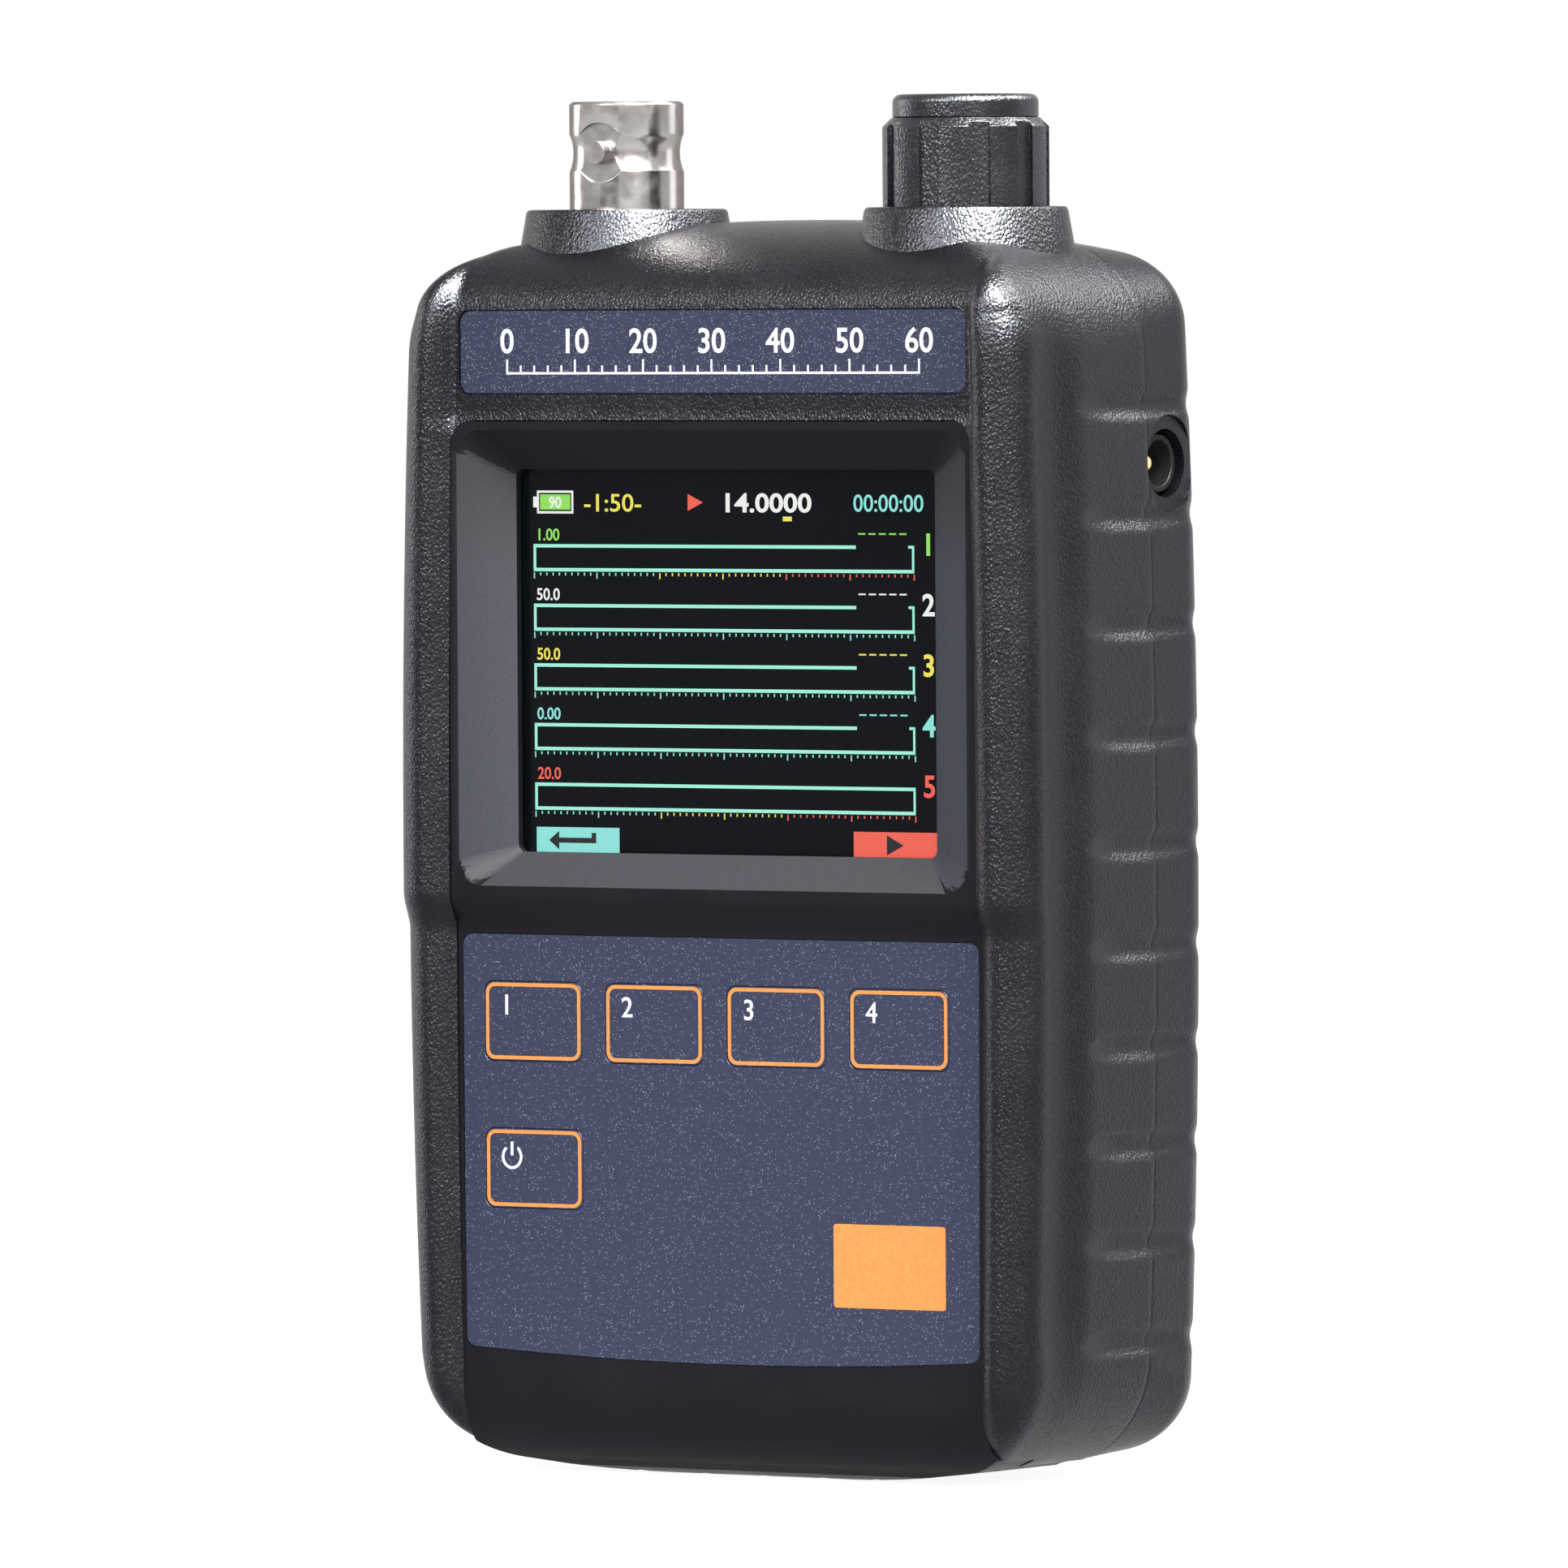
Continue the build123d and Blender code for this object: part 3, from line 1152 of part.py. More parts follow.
with BuildPart() as jack_pin:
    with Locations((jack_inner_x + jack_back_wall, jack_y, jack_z)):
        Cylinder(jack_pin_r, jack_nose_x - jack_pin_sunk - jack_inner_x - jack_back_wall, rotation=(0, 90, 0),
                 align=(Align.CENTER, Align.CENTER, Align.MIN))
    fillet(jack_pin.edges().group_by(Axis.X)[-1], jack_pin_round)
save(jack_pin, "jack_pin")

with BuildPart() as jack_tabs:
    with BuildSketch(at_depth(main_board_back_y + sheet_thickness)):
        for side in (-1, 1):
            with Locations((jack_front_x - jack_tab_set_back, jack_z + side * jack_body_height / 2)):
                Rectangle(jack_tab_width, jack_tab_reach,
                          align=(Align.CENTER, Align.MIN if side > 0 else Align.MAX))
    extrude(amount=sheet_thickness)
save(jack_tabs, "jack_tabs")

# ---------------------------------------------------------------------------- battery
cell_back_y = inner_back_y - cell_tape
cell_top_z = jack_z - jack_body_height / 2 - cell_below_jack
cell_length = cell_top_z - cell_bottom_z
cell_thickness = cell_back_y - main_board_back_y - cell_standoff
cell_width = board_post_x - board_screw_head_r - cell_side_gap - cell_gap / 2
cell_x = (cell_width + cell_gap) / 2
cell_corner_r = min(cell_round, 0.9 * cell_thickness / 2)
with BuildPart() as battery_cells:
    with BuildSketch(at_depth(cell_back_y)):
        with Locations((-cell_x, cell_bottom_z + cell_length / 2), (cell_x, cell_bottom_z + cell_length / 2)):
            Rectangle(cell_width, cell_length)
    extrude(amount=cell_thickness)
    fillet(battery_cells.edges().filter_by(Axis.Z), cell_corner_r)
save(battery_cells, "battery_cells")

with BuildPart() as battery_tape:
    with BuildSketch(at_depth(inner_back_y)):
        with Locations((0, cell_bottom_z + cell_length / 2)):
            Rectangle(2 * cell_width - 2 * cell_round, cell_length - 2 * cell_round)
    extrude(amount=cell_tape)
save(battery_tape, "battery_tape")

cell_mid_y = cell_back_y - cell_thickness / 2
with BuildPart() as battery_board:
    with BuildSketch(Plane.XY.offset(cell_top_z)):
        with Locations((0, cell_mid_y)):
            Rectangle(battery_board_width, battery_board_thickness)
    extrude(amount=battery_board_height)
save(battery_board, "battery_board")

battery_board_top_z = cell_top_z + battery_board_height
battery_plug_bottom_z = battery_board_top_z + lead_length
with BuildPart() as battery_leads:
    with Locations(*[(side * lead_pitch / 2, cell_mid_y, battery_board_top_z) for side in (-1, 1)]):
        Cylinder(lead_r, lead_length, align=(Align.CENTER, Align.CENTER, Align.MIN))
save(battery_leads, "battery_leads")

plug_depth = 2 * (cell_mid_y - main_board_back_y - plug_standoff)
with BuildPart() as battery_plug:
    with Locations((0, cell_mid_y, battery_plug_bottom_z)):
        Box(plug_width, plug_depth, plug_height, align=(Align.CENTER, Align.CENTER, Align.MIN))
save(battery_plug, "battery_plug")

with BuildPart() as battery_socket:
    with Locations((0, main_board_back_y, battery_plug_bottom_z + plug_height)):
        Box(plug_width + 2 * sheet_thickness, plug_depth + plug_standoff, plug_height,
            align=(Align.CENTER, Align.MIN, Align.MIN))
save(battery_socket, "battery_socket")


# ---------------------------------------------------------------------------- screws
def save_screws(name, places, seat_y, screw_r, screw_length, head_r, head_height):
    """Cross-head screws driven forwards; the underside of each head is at depth seat_y."""
    with BuildPart() as screws:
        with BuildSketch(at_depth(seat_y + head_height)):
            with Locations(*places):
                Circle(head_r)
        extrude(amount=head_height)
        fillet(screws.edges().group_by(Axis.Y)[-1], screw_head_round)
        with BuildSketch(at_depth(seat_y)):
            with Locations(*places):
                Circle(screw_r)
        extrude(amount=screw_length)
        with BuildSketch(at_depth(seat_y + head_height)):
            with Locations(*places):
                Rectangle(head_r, screw_cross_width)
                Rectangle(screw_cross_width, head_r)
        extrude(amount=screw_cross_depth, mode=Mode.SUBTRACT)
    save(screws, name)


case_seat_y = back_y - counterbore_depth
save_screws("case_screws", case_posts, case_seat_y, case_screw_r, case_seat_y - parting_y + case_screw_grip,
            case_screw_head_r, case_screw_head_height)
save_screws("main_board_screws", board_posts, main_board_back_y, board_screw_r,
            board_thickness + board_screw_grip, board_screw_head_r, board_screw_head_height)
save_screws("front_board_screws", panel_posts, front_board_back_y, panel_screw_r,
            board_thickness + panel_screw_grip, panel_screw_head_r, panel_screw_head_height)
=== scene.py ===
import json
from math import cos, pi, radians, sin, tan

import bmesh
import bpy
import numpy as np
from mathutils import Matrix, Vector

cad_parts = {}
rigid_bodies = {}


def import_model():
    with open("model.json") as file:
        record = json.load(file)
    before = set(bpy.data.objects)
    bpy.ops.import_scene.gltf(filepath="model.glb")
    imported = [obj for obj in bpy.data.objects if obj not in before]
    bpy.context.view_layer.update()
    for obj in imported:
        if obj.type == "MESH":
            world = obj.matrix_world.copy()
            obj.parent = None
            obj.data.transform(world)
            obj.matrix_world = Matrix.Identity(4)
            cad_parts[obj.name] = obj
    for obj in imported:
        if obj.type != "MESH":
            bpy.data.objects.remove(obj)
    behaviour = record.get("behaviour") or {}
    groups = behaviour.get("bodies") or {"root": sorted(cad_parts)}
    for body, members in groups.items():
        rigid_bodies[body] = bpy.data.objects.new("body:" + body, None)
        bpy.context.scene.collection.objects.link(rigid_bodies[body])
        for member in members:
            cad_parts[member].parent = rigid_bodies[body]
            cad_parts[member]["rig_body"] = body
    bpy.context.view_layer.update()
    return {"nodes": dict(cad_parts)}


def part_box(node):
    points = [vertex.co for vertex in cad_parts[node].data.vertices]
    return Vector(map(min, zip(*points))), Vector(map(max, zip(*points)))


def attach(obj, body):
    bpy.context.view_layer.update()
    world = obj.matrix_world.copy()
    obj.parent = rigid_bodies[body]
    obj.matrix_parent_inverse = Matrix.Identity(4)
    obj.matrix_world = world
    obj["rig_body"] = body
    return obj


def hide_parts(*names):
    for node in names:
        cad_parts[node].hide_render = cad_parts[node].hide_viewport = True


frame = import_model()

scene = bpy.context.scene
scene.view_settings.view_transform = "Standard"

# ---------------------------------------------------------------- table, light and camera
# The analyzer stands on a plain pale table top in soft studio light. The table shows as white
# to the camera, and keeps the shadow of the case.


def add_node(tree, kind, wires=None, **settings):
    """A new node's outputs. settings are the node's own; wires gives its inputs, by name or
    number, another node's output or a plain value."""
    made = tree.nodes.new(kind)
    for key, value in settings.items():
        setattr(made, key, value)
    for key, value in (wires or {}).items():
        if isinstance(value, bpy.types.NodeSocket):
            tree.links.new(value, made.inputs[key])
        else:
            made.inputs[key].default_value = value
    return made.outputs


class Recipe:
    """A material's node tree, with short calls for the nodes that the finishes below share."""

    def __init__(self, name):
        self.material = bpy.data.materials.new(name)
        self.material.use_nodes = True
        self.tree = self.material.node_tree
        self.shader = self.tree.nodes["Principled BSDF"]

    def node(self, kind, wires=None, **settings):
        return add_node(self.tree, kind, wires, **settings)

    def place(self, stretch=(1, 1, 1), turn=(0, 0, 0)):
        """Object coordinates in millimetres, stretched and turned."""
        spot = self.node("ShaderNodeTexCoord")["Object"]
        per_metre = [1000 * s for s in stretch]
        return self.node("ShaderNodeMapping", {"Vector": spot, "Scale": per_metre,
                                               "Rotation": turn})["Vector"]

    def noise(self, vector, size, detail=2.0, rough=0.5, distortion=0.0):
        """Noise whose blotches are about size millimetres across."""
        return self.node("ShaderNodeTexNoise", {"Vector": vector, "Scale": 1 / size, "Detail": detail,
                                                "Roughness": rough, "Distortion": distortion})["Fac"]

    def cells(self, vector, size):
        """Cells about size millimetres across: outputs Distance from the middle, and Color."""
        return self.node("ShaderNodeTexVoronoi", {"Vector": vector, "Scale": 1 / size})

    def span(self, value, low, high, to_low, to_high, smooth=False):
        """value from low..high mapped to to_low..to_high, and clamped there."""
        return self.node("ShaderNodeMapRange", {"Value": value, "From Min": low, "From Max": high,
                                                "To Min": to_low, "To Max": to_high},
                         interpolation_type="SMOOTHSTEP" if smooth else "LINEAR")["Result"]

    def sum(self, first, second, share=0.5):
        """first and second laid over each other, second with the given share."""
        return self.node("ShaderNodeMix", {"Factor": share, "A": first, "B": second},
                         data_type="FLOAT")["Result"]

    def times(self, first, second):
        return self.node("ShaderNodeMath", {0: first, 1: second}, operation="MULTIPLY")[0]

    def blend(self, share, first, second):
        """A colour that passes from first into second, a plain colour, as share goes to 1."""
        return self.node("ShaderNodeMix", {"Factor": share, 6: first, 7: (*second, 1)}, data_type="RGBA")[2]

    def tones(self, value, dark, light, ends=(0.3, 0.7)):
        """A colour that goes from dark to light as value goes from one end to the other."""
        colour = self.node("ShaderNodeValToRGB", {"Fac": value})["Color"]
        for element, position, tone in zip(colour.node.color_ramp.elements, ends, (dark, light)):
            element.position = position
            element.color = (*tone, 1)
        return colour

    def mottled(self, size, dark, light, detail=2.0):
        """Blotches of two tones, about size millimetres across."""
        return self.tones(self.noise(self.place(), size, detail), dark, light)

    def patchy(self, size, low, high, detail=2.0):
        """A gloss between low and high, in patches about size millimetres across."""
        return self.span(self.noise(self.place(), size, detail), 0.3, 0.7, low, high)

    def relief(self, height, depth, strength=1.0):
        """A bump whose full height is depth millimetres."""
        return self.node("ShaderNodeBump", {"Strength": strength, "Distance": depth / 1000,
                                            "Height": height})["Normal"]

    def finish(self, **sockets):
        """Sets the shader's sockets, to a number, a colour or a node's output."""
        for key, value in sockets.items():
            socket = self.shader.inputs[key.replace("_", " ")]
            if isinstance(value, bpy.types.NodeSocket):
                self.tree.links.new(value, socket)
            elif isinstance(value, tuple):
                socket.default_value = (*value, 1)
            else:
                socket.default_value = value
        return self.material


def seen_white(tree, plain, output, brightness=1.0, share=1.0):
    """Shows white to camera, glossy and transmission rays, by the given share, and the plain
    shader to all others."""
    light_path = add_node(tree, "ShaderNodeLightPath")
    rays = light_path["Is Camera Ray"]
    for ray in ("Is Glossy Ray", "Is Transmission Ray"):
        rays = add_node(tree, "ShaderNodeMath", {0: rays, 1: light_path[ray]}, operation="MAXIMUM")[0]
    portion = add_node(tree, "ShaderNodeMath", {0: rays, 1: share}, operation="MULTIPLY")[0]
    kind = "ShaderNodeBackground" if plain.type == "BACKGROUND" else "ShaderNodeEmission"
    white = add_node(tree, kind, {"Color": (1, 1, 1, 1), "Strength": brightness})[0]
    mix = add_node(tree, "ShaderNodeMixShader", {"Fac": portion, 1: plain.outputs[0], 2: white})[0]
    tree.links.new(mix, tree.nodes[output].inputs["Surface"])


world = bpy.data.worlds.new("studio")
world.use_nodes = True
scene.world = world
room = world.node_tree.nodes["Background"]
room.inputs["Color"].default_value = (0.93, 0.95, 1.0, 1)
room.inputs["Strength"].default_value = 0.24
seen_white(world.node_tree, room, "World Output")

table_paint = Recipe("table_paint")
table_paint.finish(Base_Color=(0.86, 0.86, 0.87), Roughness=0.9)
seen_white(table_paint.tree, table_paint.shader, "Material Output", brightness=1.53, share=0.6)
bpy.ops.mesh.primitive_plane_add(size=8, location=(0, 0, 0))
table_top = bpy.context.object
table_top.name = "table_top"
table_top.data.materials.append(table_paint.material)

view_turn = radians(34.517)
view_rise = radians(1.713)
view_roll = radians(-0.375)
view_distance = 1.4757
view_target = Vector((0.00685, -0.0131, 0.0578))


def towards(bearing, rise):
    """The direction from the case to something at a bearing from the front and a rise."""
    return Vector((sin(bearing) * cos(rise), -cos(bearing) * cos(rise), sin(rise)))


towards_lens = towards(view_turn, view_rise)
level_right = (-towards_lens).cross(Vector((0, 0, 1))).normalized()
level_up = level_right.cross(-towards_lens)
lens_right = cos(view_roll) * level_right + sin(view_roll) * level_up
lens_up = cos(view_roll) * level_up - sin(view_roll) * level_right
lens_place = view_target + towards_lens * view_distance
lens = bpy.data.cameras.new("camera")
lens.lens = 410.85
lens.sensor_width = 36
lens.clip_start = 0.05
camera = bpy.data.objects.new("camera", lens)
camera.matrix_world = Matrix((*zip(lens_right, lens_up, towards_lens, lens_place), (0, 0, 0, 1)))
scene.collection.objects.link(camera)
scene.camera = camera

lamp_distance = 1.2


def softbox(name, bearing, rise, width, height, power):
    """A soft lamp that looks at the middle of the case, at a bearing in degrees from the front."""
    lamp = bpy.data.lights.new(name, "AREA")
    lamp.shape = "RECTANGLE"
    lamp.size = width
    lamp.size_y = height
    lamp.energy = power
    standing = bpy.data.objects.new(name, lamp)
    aim = Vector((0, 0, 0.06))
    standing.location = aim + lamp_distance * towards(radians(bearing), radians(rise))
    standing.rotation_euler = (aim - standing.location).to_track_quat("-Z", "Y").to_euler()
    scene.collection.objects.link(standing)
    return standing


softbox("key_lamp", 20, 34, 0.5, 0.4, power=3.6)
softbox("overhead_lamp", -32, 58, 0.5, 0.5, power=2.4)
softbox("left_lamp", -84, 10, 0.3, 0.6, power=7)
softbox("right_lamp", 76, 12, 0.3, 0.6, power=8).visible_glossy = False
softbox("back_right_lamp", 142, 14, 0.4, 0.9, power=2.6)

# these four only light the gloss, and draw the highlights along the edges and the grain
for card in (softbox("gloss_card", 58, 52, 0.5, 0.5, power=560),
             softbox("low_card", 46, 22, 0.5, 0.3, power=6),
             softbox("front_card", -6, 27, 0.5, 0.3, power=62),
             softbox("side_card", 138, 46, 0.6, 0.5, power=60)):
    card.visible_diffuse = False

# a dark card on the table in front, which only reflections see, gives the bright metal its
# darker band
card_bearing = radians(-2)
card_distance = 1.3
card_half_width = 0.45
card_half_height = 0.16
card_corners = [(x * card_half_width, z * card_half_height, 0)
                for x, z in ((-1, -1), (1, -1), (1, 1), (-1, 1))]
card_black = Recipe("card_black")
card_black.finish(Base_Color=(0.01, 0.01, 0.01), Roughness=1.0, Specular_IOR_Level=0.0)
dark_card = bpy.data.objects.new("dark_card", bpy.data.meshes.new("dark_card"))
dark_card.data.from_pydata(card_corners, [], [(0, 1, 2, 3)])
dark_card.data.materials.append(card_black.material)
dark_card.location = card_distance * towards(card_bearing, 0) + Vector((0, 0, card_half_height))
dark_card.rotation_euler = (pi / 2, 0, card_bearing)
dark_card.visible_camera = dark_card.visible_diffuse = dark_card.visible_shadow = False
scene.collection.objects.link(dark_card)

# ---------------------------------------------------------------- front and back shell
# Two injection-moulded halves of black ABS with a leathery spark-eroded grain. The front one
# carries the rails, the shoulder and half of each boss; the back one has the side grips.
half_width = 32.1
case_height = 104.3
back_y = 15.4
parting_y = 4.35
side_bow = 1.3  # how far the sides bulge at mid height
crown_fall = 3.4  # how far the top falls from its middle to its corners
foot_rise = 2.5  # how far the foot rises from its flat middle to its corners
foot_land = 6.0  # half of that flat middle
corner_x = half_width - side_bow
side_top_z = case_height - crown_fall
corner_r = 10.0  # the four corners seen from the front
back_corner_r = 6.5  # the same at the back
side_draw = 0.9  # how far the sides draw in towards the back
seam_step = 0.09  # how far the back shell stands in at the parting plane
back_edge_r = 5.0

crest_y = -15.4  # front of the rails beside the display
low_crest_y = -14.55  # front of the rails beside the keys
crest_allowance = 0.08  # what the blend into the rail takes off its crest
rail_slope = 3.1  # from the panel's edge up to the crest, across
rail_edge_r = 4.0
step_top_z = 48.3
step_foot_z = 45.2
shoulder_z = 96.5  # where the front starts to roll back into the top
shoulder_back_y = 1.3
wrap_end_y = -5.9  # where the front has rolled in under the foot

panel_half_width = 26.5
panel_bow = 0.42  # how far the panel's sides draw in towards its top and bottom
panel_mid_z = 47.0
panel_top_z = 87.8
label_zone_y = -13.6
display_face_y = -13.9
keypad_face_y = -12.9

hollow_y = -9.0  # middle of the shallow hollow down each side, behind the rail
hollow_depth = 0.75
hollow_reach = 4.3
hollow_foot_z = (4, 16)  # it runs out over these heights, and over hollow_top_z
hollow_top_z = (88, 99)
notch_r = 1.6
notch_lip = 0.2  # rounding of a notch's edges
side_notch_places = [88.92 - 9.08 * i for i in range(5)] + [11.5 + 8.18 * i for i in range(5)]
foot_notch_places = [5.9 * i for i in range(-4, 5)]

boss_x = 17.1
boss_y = -0.9
boss_top_z = 105.3
boss_r = 8.4

side_mid_z = (foot_rise + side_top_z) / 2
side_arc_r = ((side_mid_z - foot_rise) ** 2 + side_bow ** 2) / (2 * side_bow)
foot_arc_r = ((corner_x - foot_land) ** 2 + foot_rise ** 2) / (2 * foot_rise)
crown_arc_r = (corner_x ** 2 + crown_fall ** 2) / (2 * crown_fall)


def ramp(value, low, high):
    """0 below low, 1 above high, with a soft rise between."""
    t = np.clip((value - low) / (high - low), 0, 1)
    return t * t * (3 - 2 * t)


def side_line(z):
    return half_width - side_arc_r + np.sqrt(side_arc_r ** 2 - (z - side_mid_z) ** 2)


def foot_line(x):
    run = np.maximum(np.abs(x) - foot_land, 0)
    return foot_arc_r - np.sqrt(np.maximum(foot_arc_r ** 2 - run ** 2, 1))


def crown_line(x):
    return case_height - crown_arc_r + np.sqrt(np.maximum(crown_arc_r ** 2 - x ** 2, 1))


def panel_edge(z):
    """Half the panel's width at a height, which is also where the rails start."""
    return panel_half_width - panel_bow * ((z - panel_mid_z) / (panel_top_z - panel_mid_z)) ** 2


def rounded_meet(a, b, radius, lean=0.0):
    """Inside of both a and b, with their edge rounded; lean is how far their directions agree."""
    u, v = a + radius, b + radius
    inside = (u - lean * v > 0) & (v - lean * u > 0)
    square = (u * u + v * v - 2 * lean * u * v) / np.maximum(1 - lean * lean, 1e-4)
    return np.where(inside, np.sqrt(np.maximum(square, 0)) - radius, np.maximum(a, b))


def soft_max(a, b, reach):
    """The larger of a and b, blended over reach millimetres."""
    h = np.maximum(reach - np.abs(a - b), 0) / reach
    return np.maximum(a, b) + h * h * reach / 4


def outline_distance(x, y, z):
    """Distance to the case's outline seen from the front, how far its direction leans up or
    down, and how far the sides stand in at that depth."""
    crown_corner_lean, foot_corner_lean = 0.26, 0.22
    behind = np.clip((y - parting_y) / (back_y - parting_y), 0, 1)
    corner = corner_r - (corner_r - back_corner_r) * behind
    inset = side_draw * behind + seam_step * (y > parting_y + 1e-6)
    ends = ramp(z, *hollow_foot_z) * (1 - ramp(z, *hollow_top_z))
    hollow = hollow_depth * (1 + np.cos(np.pi * np.clip((y - hollow_y) / hollow_reach, -1, 1))) / 2
    side = np.abs(x) - side_line(z) + ends * hollow
    crown = z - crown_line(x)
    foot = foot_line(x) - z
    upper = z > side_mid_z
    outline = np.where(upper, rounded_meet(side, crown, corner, crown_corner_lean),
                       rounded_meet(side, foot, corner, foot_corner_lean)) + inset
    around = np.clip(np.where(upper, crown, foot) - side, -corner, corner) / corner
    return outline, np.where(upper, 1, -1) * np.sin(np.pi / 4 * (around + 1)), inset


def front_roll(y, z, level, ellipse_depth):
    """Distance to a front at the given level, which rolls over the shoulder and under the foot.
    Also gives how far its direction points up or down."""
    ellipse_rise = case_height - shoulder_z
    dy, dz = (shoulder_back_y - y) / ellipse_depth, (z - shoulder_z) / ellipse_rise
    reach = np.sqrt(dy ** 2 + dz ** 2) + 1e-9
    slope = np.sqrt((dy / ellipse_depth) ** 2 + (dz / ellipse_rise) ** 2) + 1e-9
    beyond = y > shoulder_back_y
    over = np.where(beyond, z - shoulder_z - ellipse_rise, reach * (reach - 1) / slope)
    over_lean = np.where(beyond, 1.0, (dz / ellipse_rise) / slope)
    radius = wrap_end_y - level
    ry, rz = wrap_end_y - y, radius - z
    length = np.sqrt(ry ** 2 + rz ** 2) + 1e-9
    under = np.where(y > wrap_end_y, -z, length - radius)
    under_lean = np.where(y > wrap_end_y, -1.0, -rz / length)
    distance = np.where(z > shoulder_z, over, np.where(z < radius, under, level - y))
    lean = np.where(z > shoulder_z, over_lean, np.where(z < radius, under_lean, 0.0))
    return distance, lean


def front_distance(x, y, z):
    """Distance to the front, where the rails climb beside the panel's bed and the label, and how
    far its direction leans up or down."""
    low = 1 - ramp(z, step_foot_z, step_top_z)
    rail_level = crest_y - crest_allowance + (low_crest_y - crest_y) * low
    panel_level = display_face_y + (keypad_face_y - display_face_y) * low
    zone_level = panel_level + (label_zone_y - panel_level) * ramp(z, panel_top_z - 1.0, panel_top_z + 0.6)
    rail, rail_lean = front_roll(y, z, rail_level, shoulder_back_y - crest_y)
    zone, zone_lean = front_roll(y, z, zone_level, shoulder_back_y - label_zone_y)
    rise = np.clip((np.abs(x) - panel_edge(z)) / rail_slope, -1, 1)
    climb = soft_max(1 - (1 - rise) ** 3, np.zeros_like(rise), 0.2)
    return zone + (rail - zone) * climb, zone_lean + (rail_lean - zone_lean) * climb


def notch_depth(x, y, z, inset):
    """How deep a point lies in one of the grip notches. They start behind the rail and deepen
    backwards, and those of the sides get shallower again towards the back."""
    nowhere, side_start, foot_start = -9.0, -0.2, -0.15
    side_gain, side_loss, foot_gain = 0.75, 0.3, 0.6
    scoop = nowhere
    dug = side_gain * ramp(y, crest_y + 6.0, crest_y + 15.0) + side_start
    dug -= side_loss * ramp(y, parting_y, 13.0)
    for place in side_notch_places:
        across = np.abs(x) - side_line(place) + inset - notch_r + dug
        scoop = np.maximum(scoop, notch_r - np.hypot(across, z - place))
    dug = foot_gain * ramp(y, crest_y + 5.0, crest_y + 12.0) + foot_start
    for place in foot_notch_places:
        across = foot_line(place) + inset - z - notch_r + dug
        scoop = np.maximum(scoop, notch_r - np.hypot(x - place, across))
    return scoop


def case_distance(x, y, z):
    """How far a point lies outside the case, in millimetres; below zero it is inside."""
    outline, outline_lean, inset = outline_distance(x, y, z)
    front, front_lean = front_distance(x, y, z)
    lean = np.clip(outline_lean * front_lean, -0.2, 0.9995)
    shape = rounded_meet(outline, front, rail_edge_r, lean)
    shape = soft_max(shape, notch_depth(x, y, z, inset), notch_lip)
    return rounded_meet(shape, y - back_y, back_edge_r)


def hit(spoke, pivot_y, turn):
    """How far the case's surface lies from a spoke's pivot, along rays that turn from the front
    (0) over the outside to the back (pi)."""
    px, pz, dx, dz = spoke
    along, back = np.sin(turn), -np.cos(turn)
    beyond_case = 60.0
    near, out = np.zeros_like(turn), np.full_like(turn, beyond_case)
    for halving in range(26):
        middle = (near + out) / 2
        across = along * middle
        inside = case_distance(px + dx * across, pivot_y + back * middle, pz + dz * across) < 0
        near, out = np.where(inside, middle, near), np.where(inside, out, middle)
    return (near + out) / 2


point_spacing = 0.42
coarse_step = 4  # the inside of a shell has one point for every so many outside


def spokes():
    """Pivots in X and Z inside the case and directions outwards, all the way round it, evenly
    spaced on the outside: straight runs along four sides, and a fan at each corner."""
    inner_x, inner_top, inner_foot = 25.0, 86.3, 9.0
    made = []

    def fan(x, z, start):
        dense = np.linspace(start, start + pi / 2, 400)
        c, s = np.cos(dense), np.sin(dense)
        reach = hit((x, z, c, s), 3.0, np.full(400, np.pi / 2))
        run = np.concatenate(([0], np.cumsum(np.hypot(np.diff(reach * c), np.diff(reach * s)))))
        turns = np.interp(np.linspace(0, run[-1], int(run[-1] / point_spacing) + 1), run, dense)
        return [(x, z, cos(t), sin(t)) for t in turns[:-1]]

    corners = [(inner_x, inner_top), (-inner_x, inner_top), (-inner_x, inner_foot), (inner_x, inner_foot)]
    for quarter, outwards in enumerate(((1, 0), (0, 1), (-1, 0), (0, -1))):
        (from_x, from_z), (x, z) = corners[quarter - 1], corners[quarter]
        places = int((abs(x - from_x) + abs(z - from_z)) / point_spacing)
        for i in range(places):
            made.append((from_x + (x - from_x) * i / places, from_z + (z - from_z) * i / places, *outwards))
        made += fan(x, z, quarter * pi / 2)
    spare = len(made) % coarse_step
    del made[10:10 + coarse_step * spare:coarse_step]
    return np.array(made).T[:, :, None]


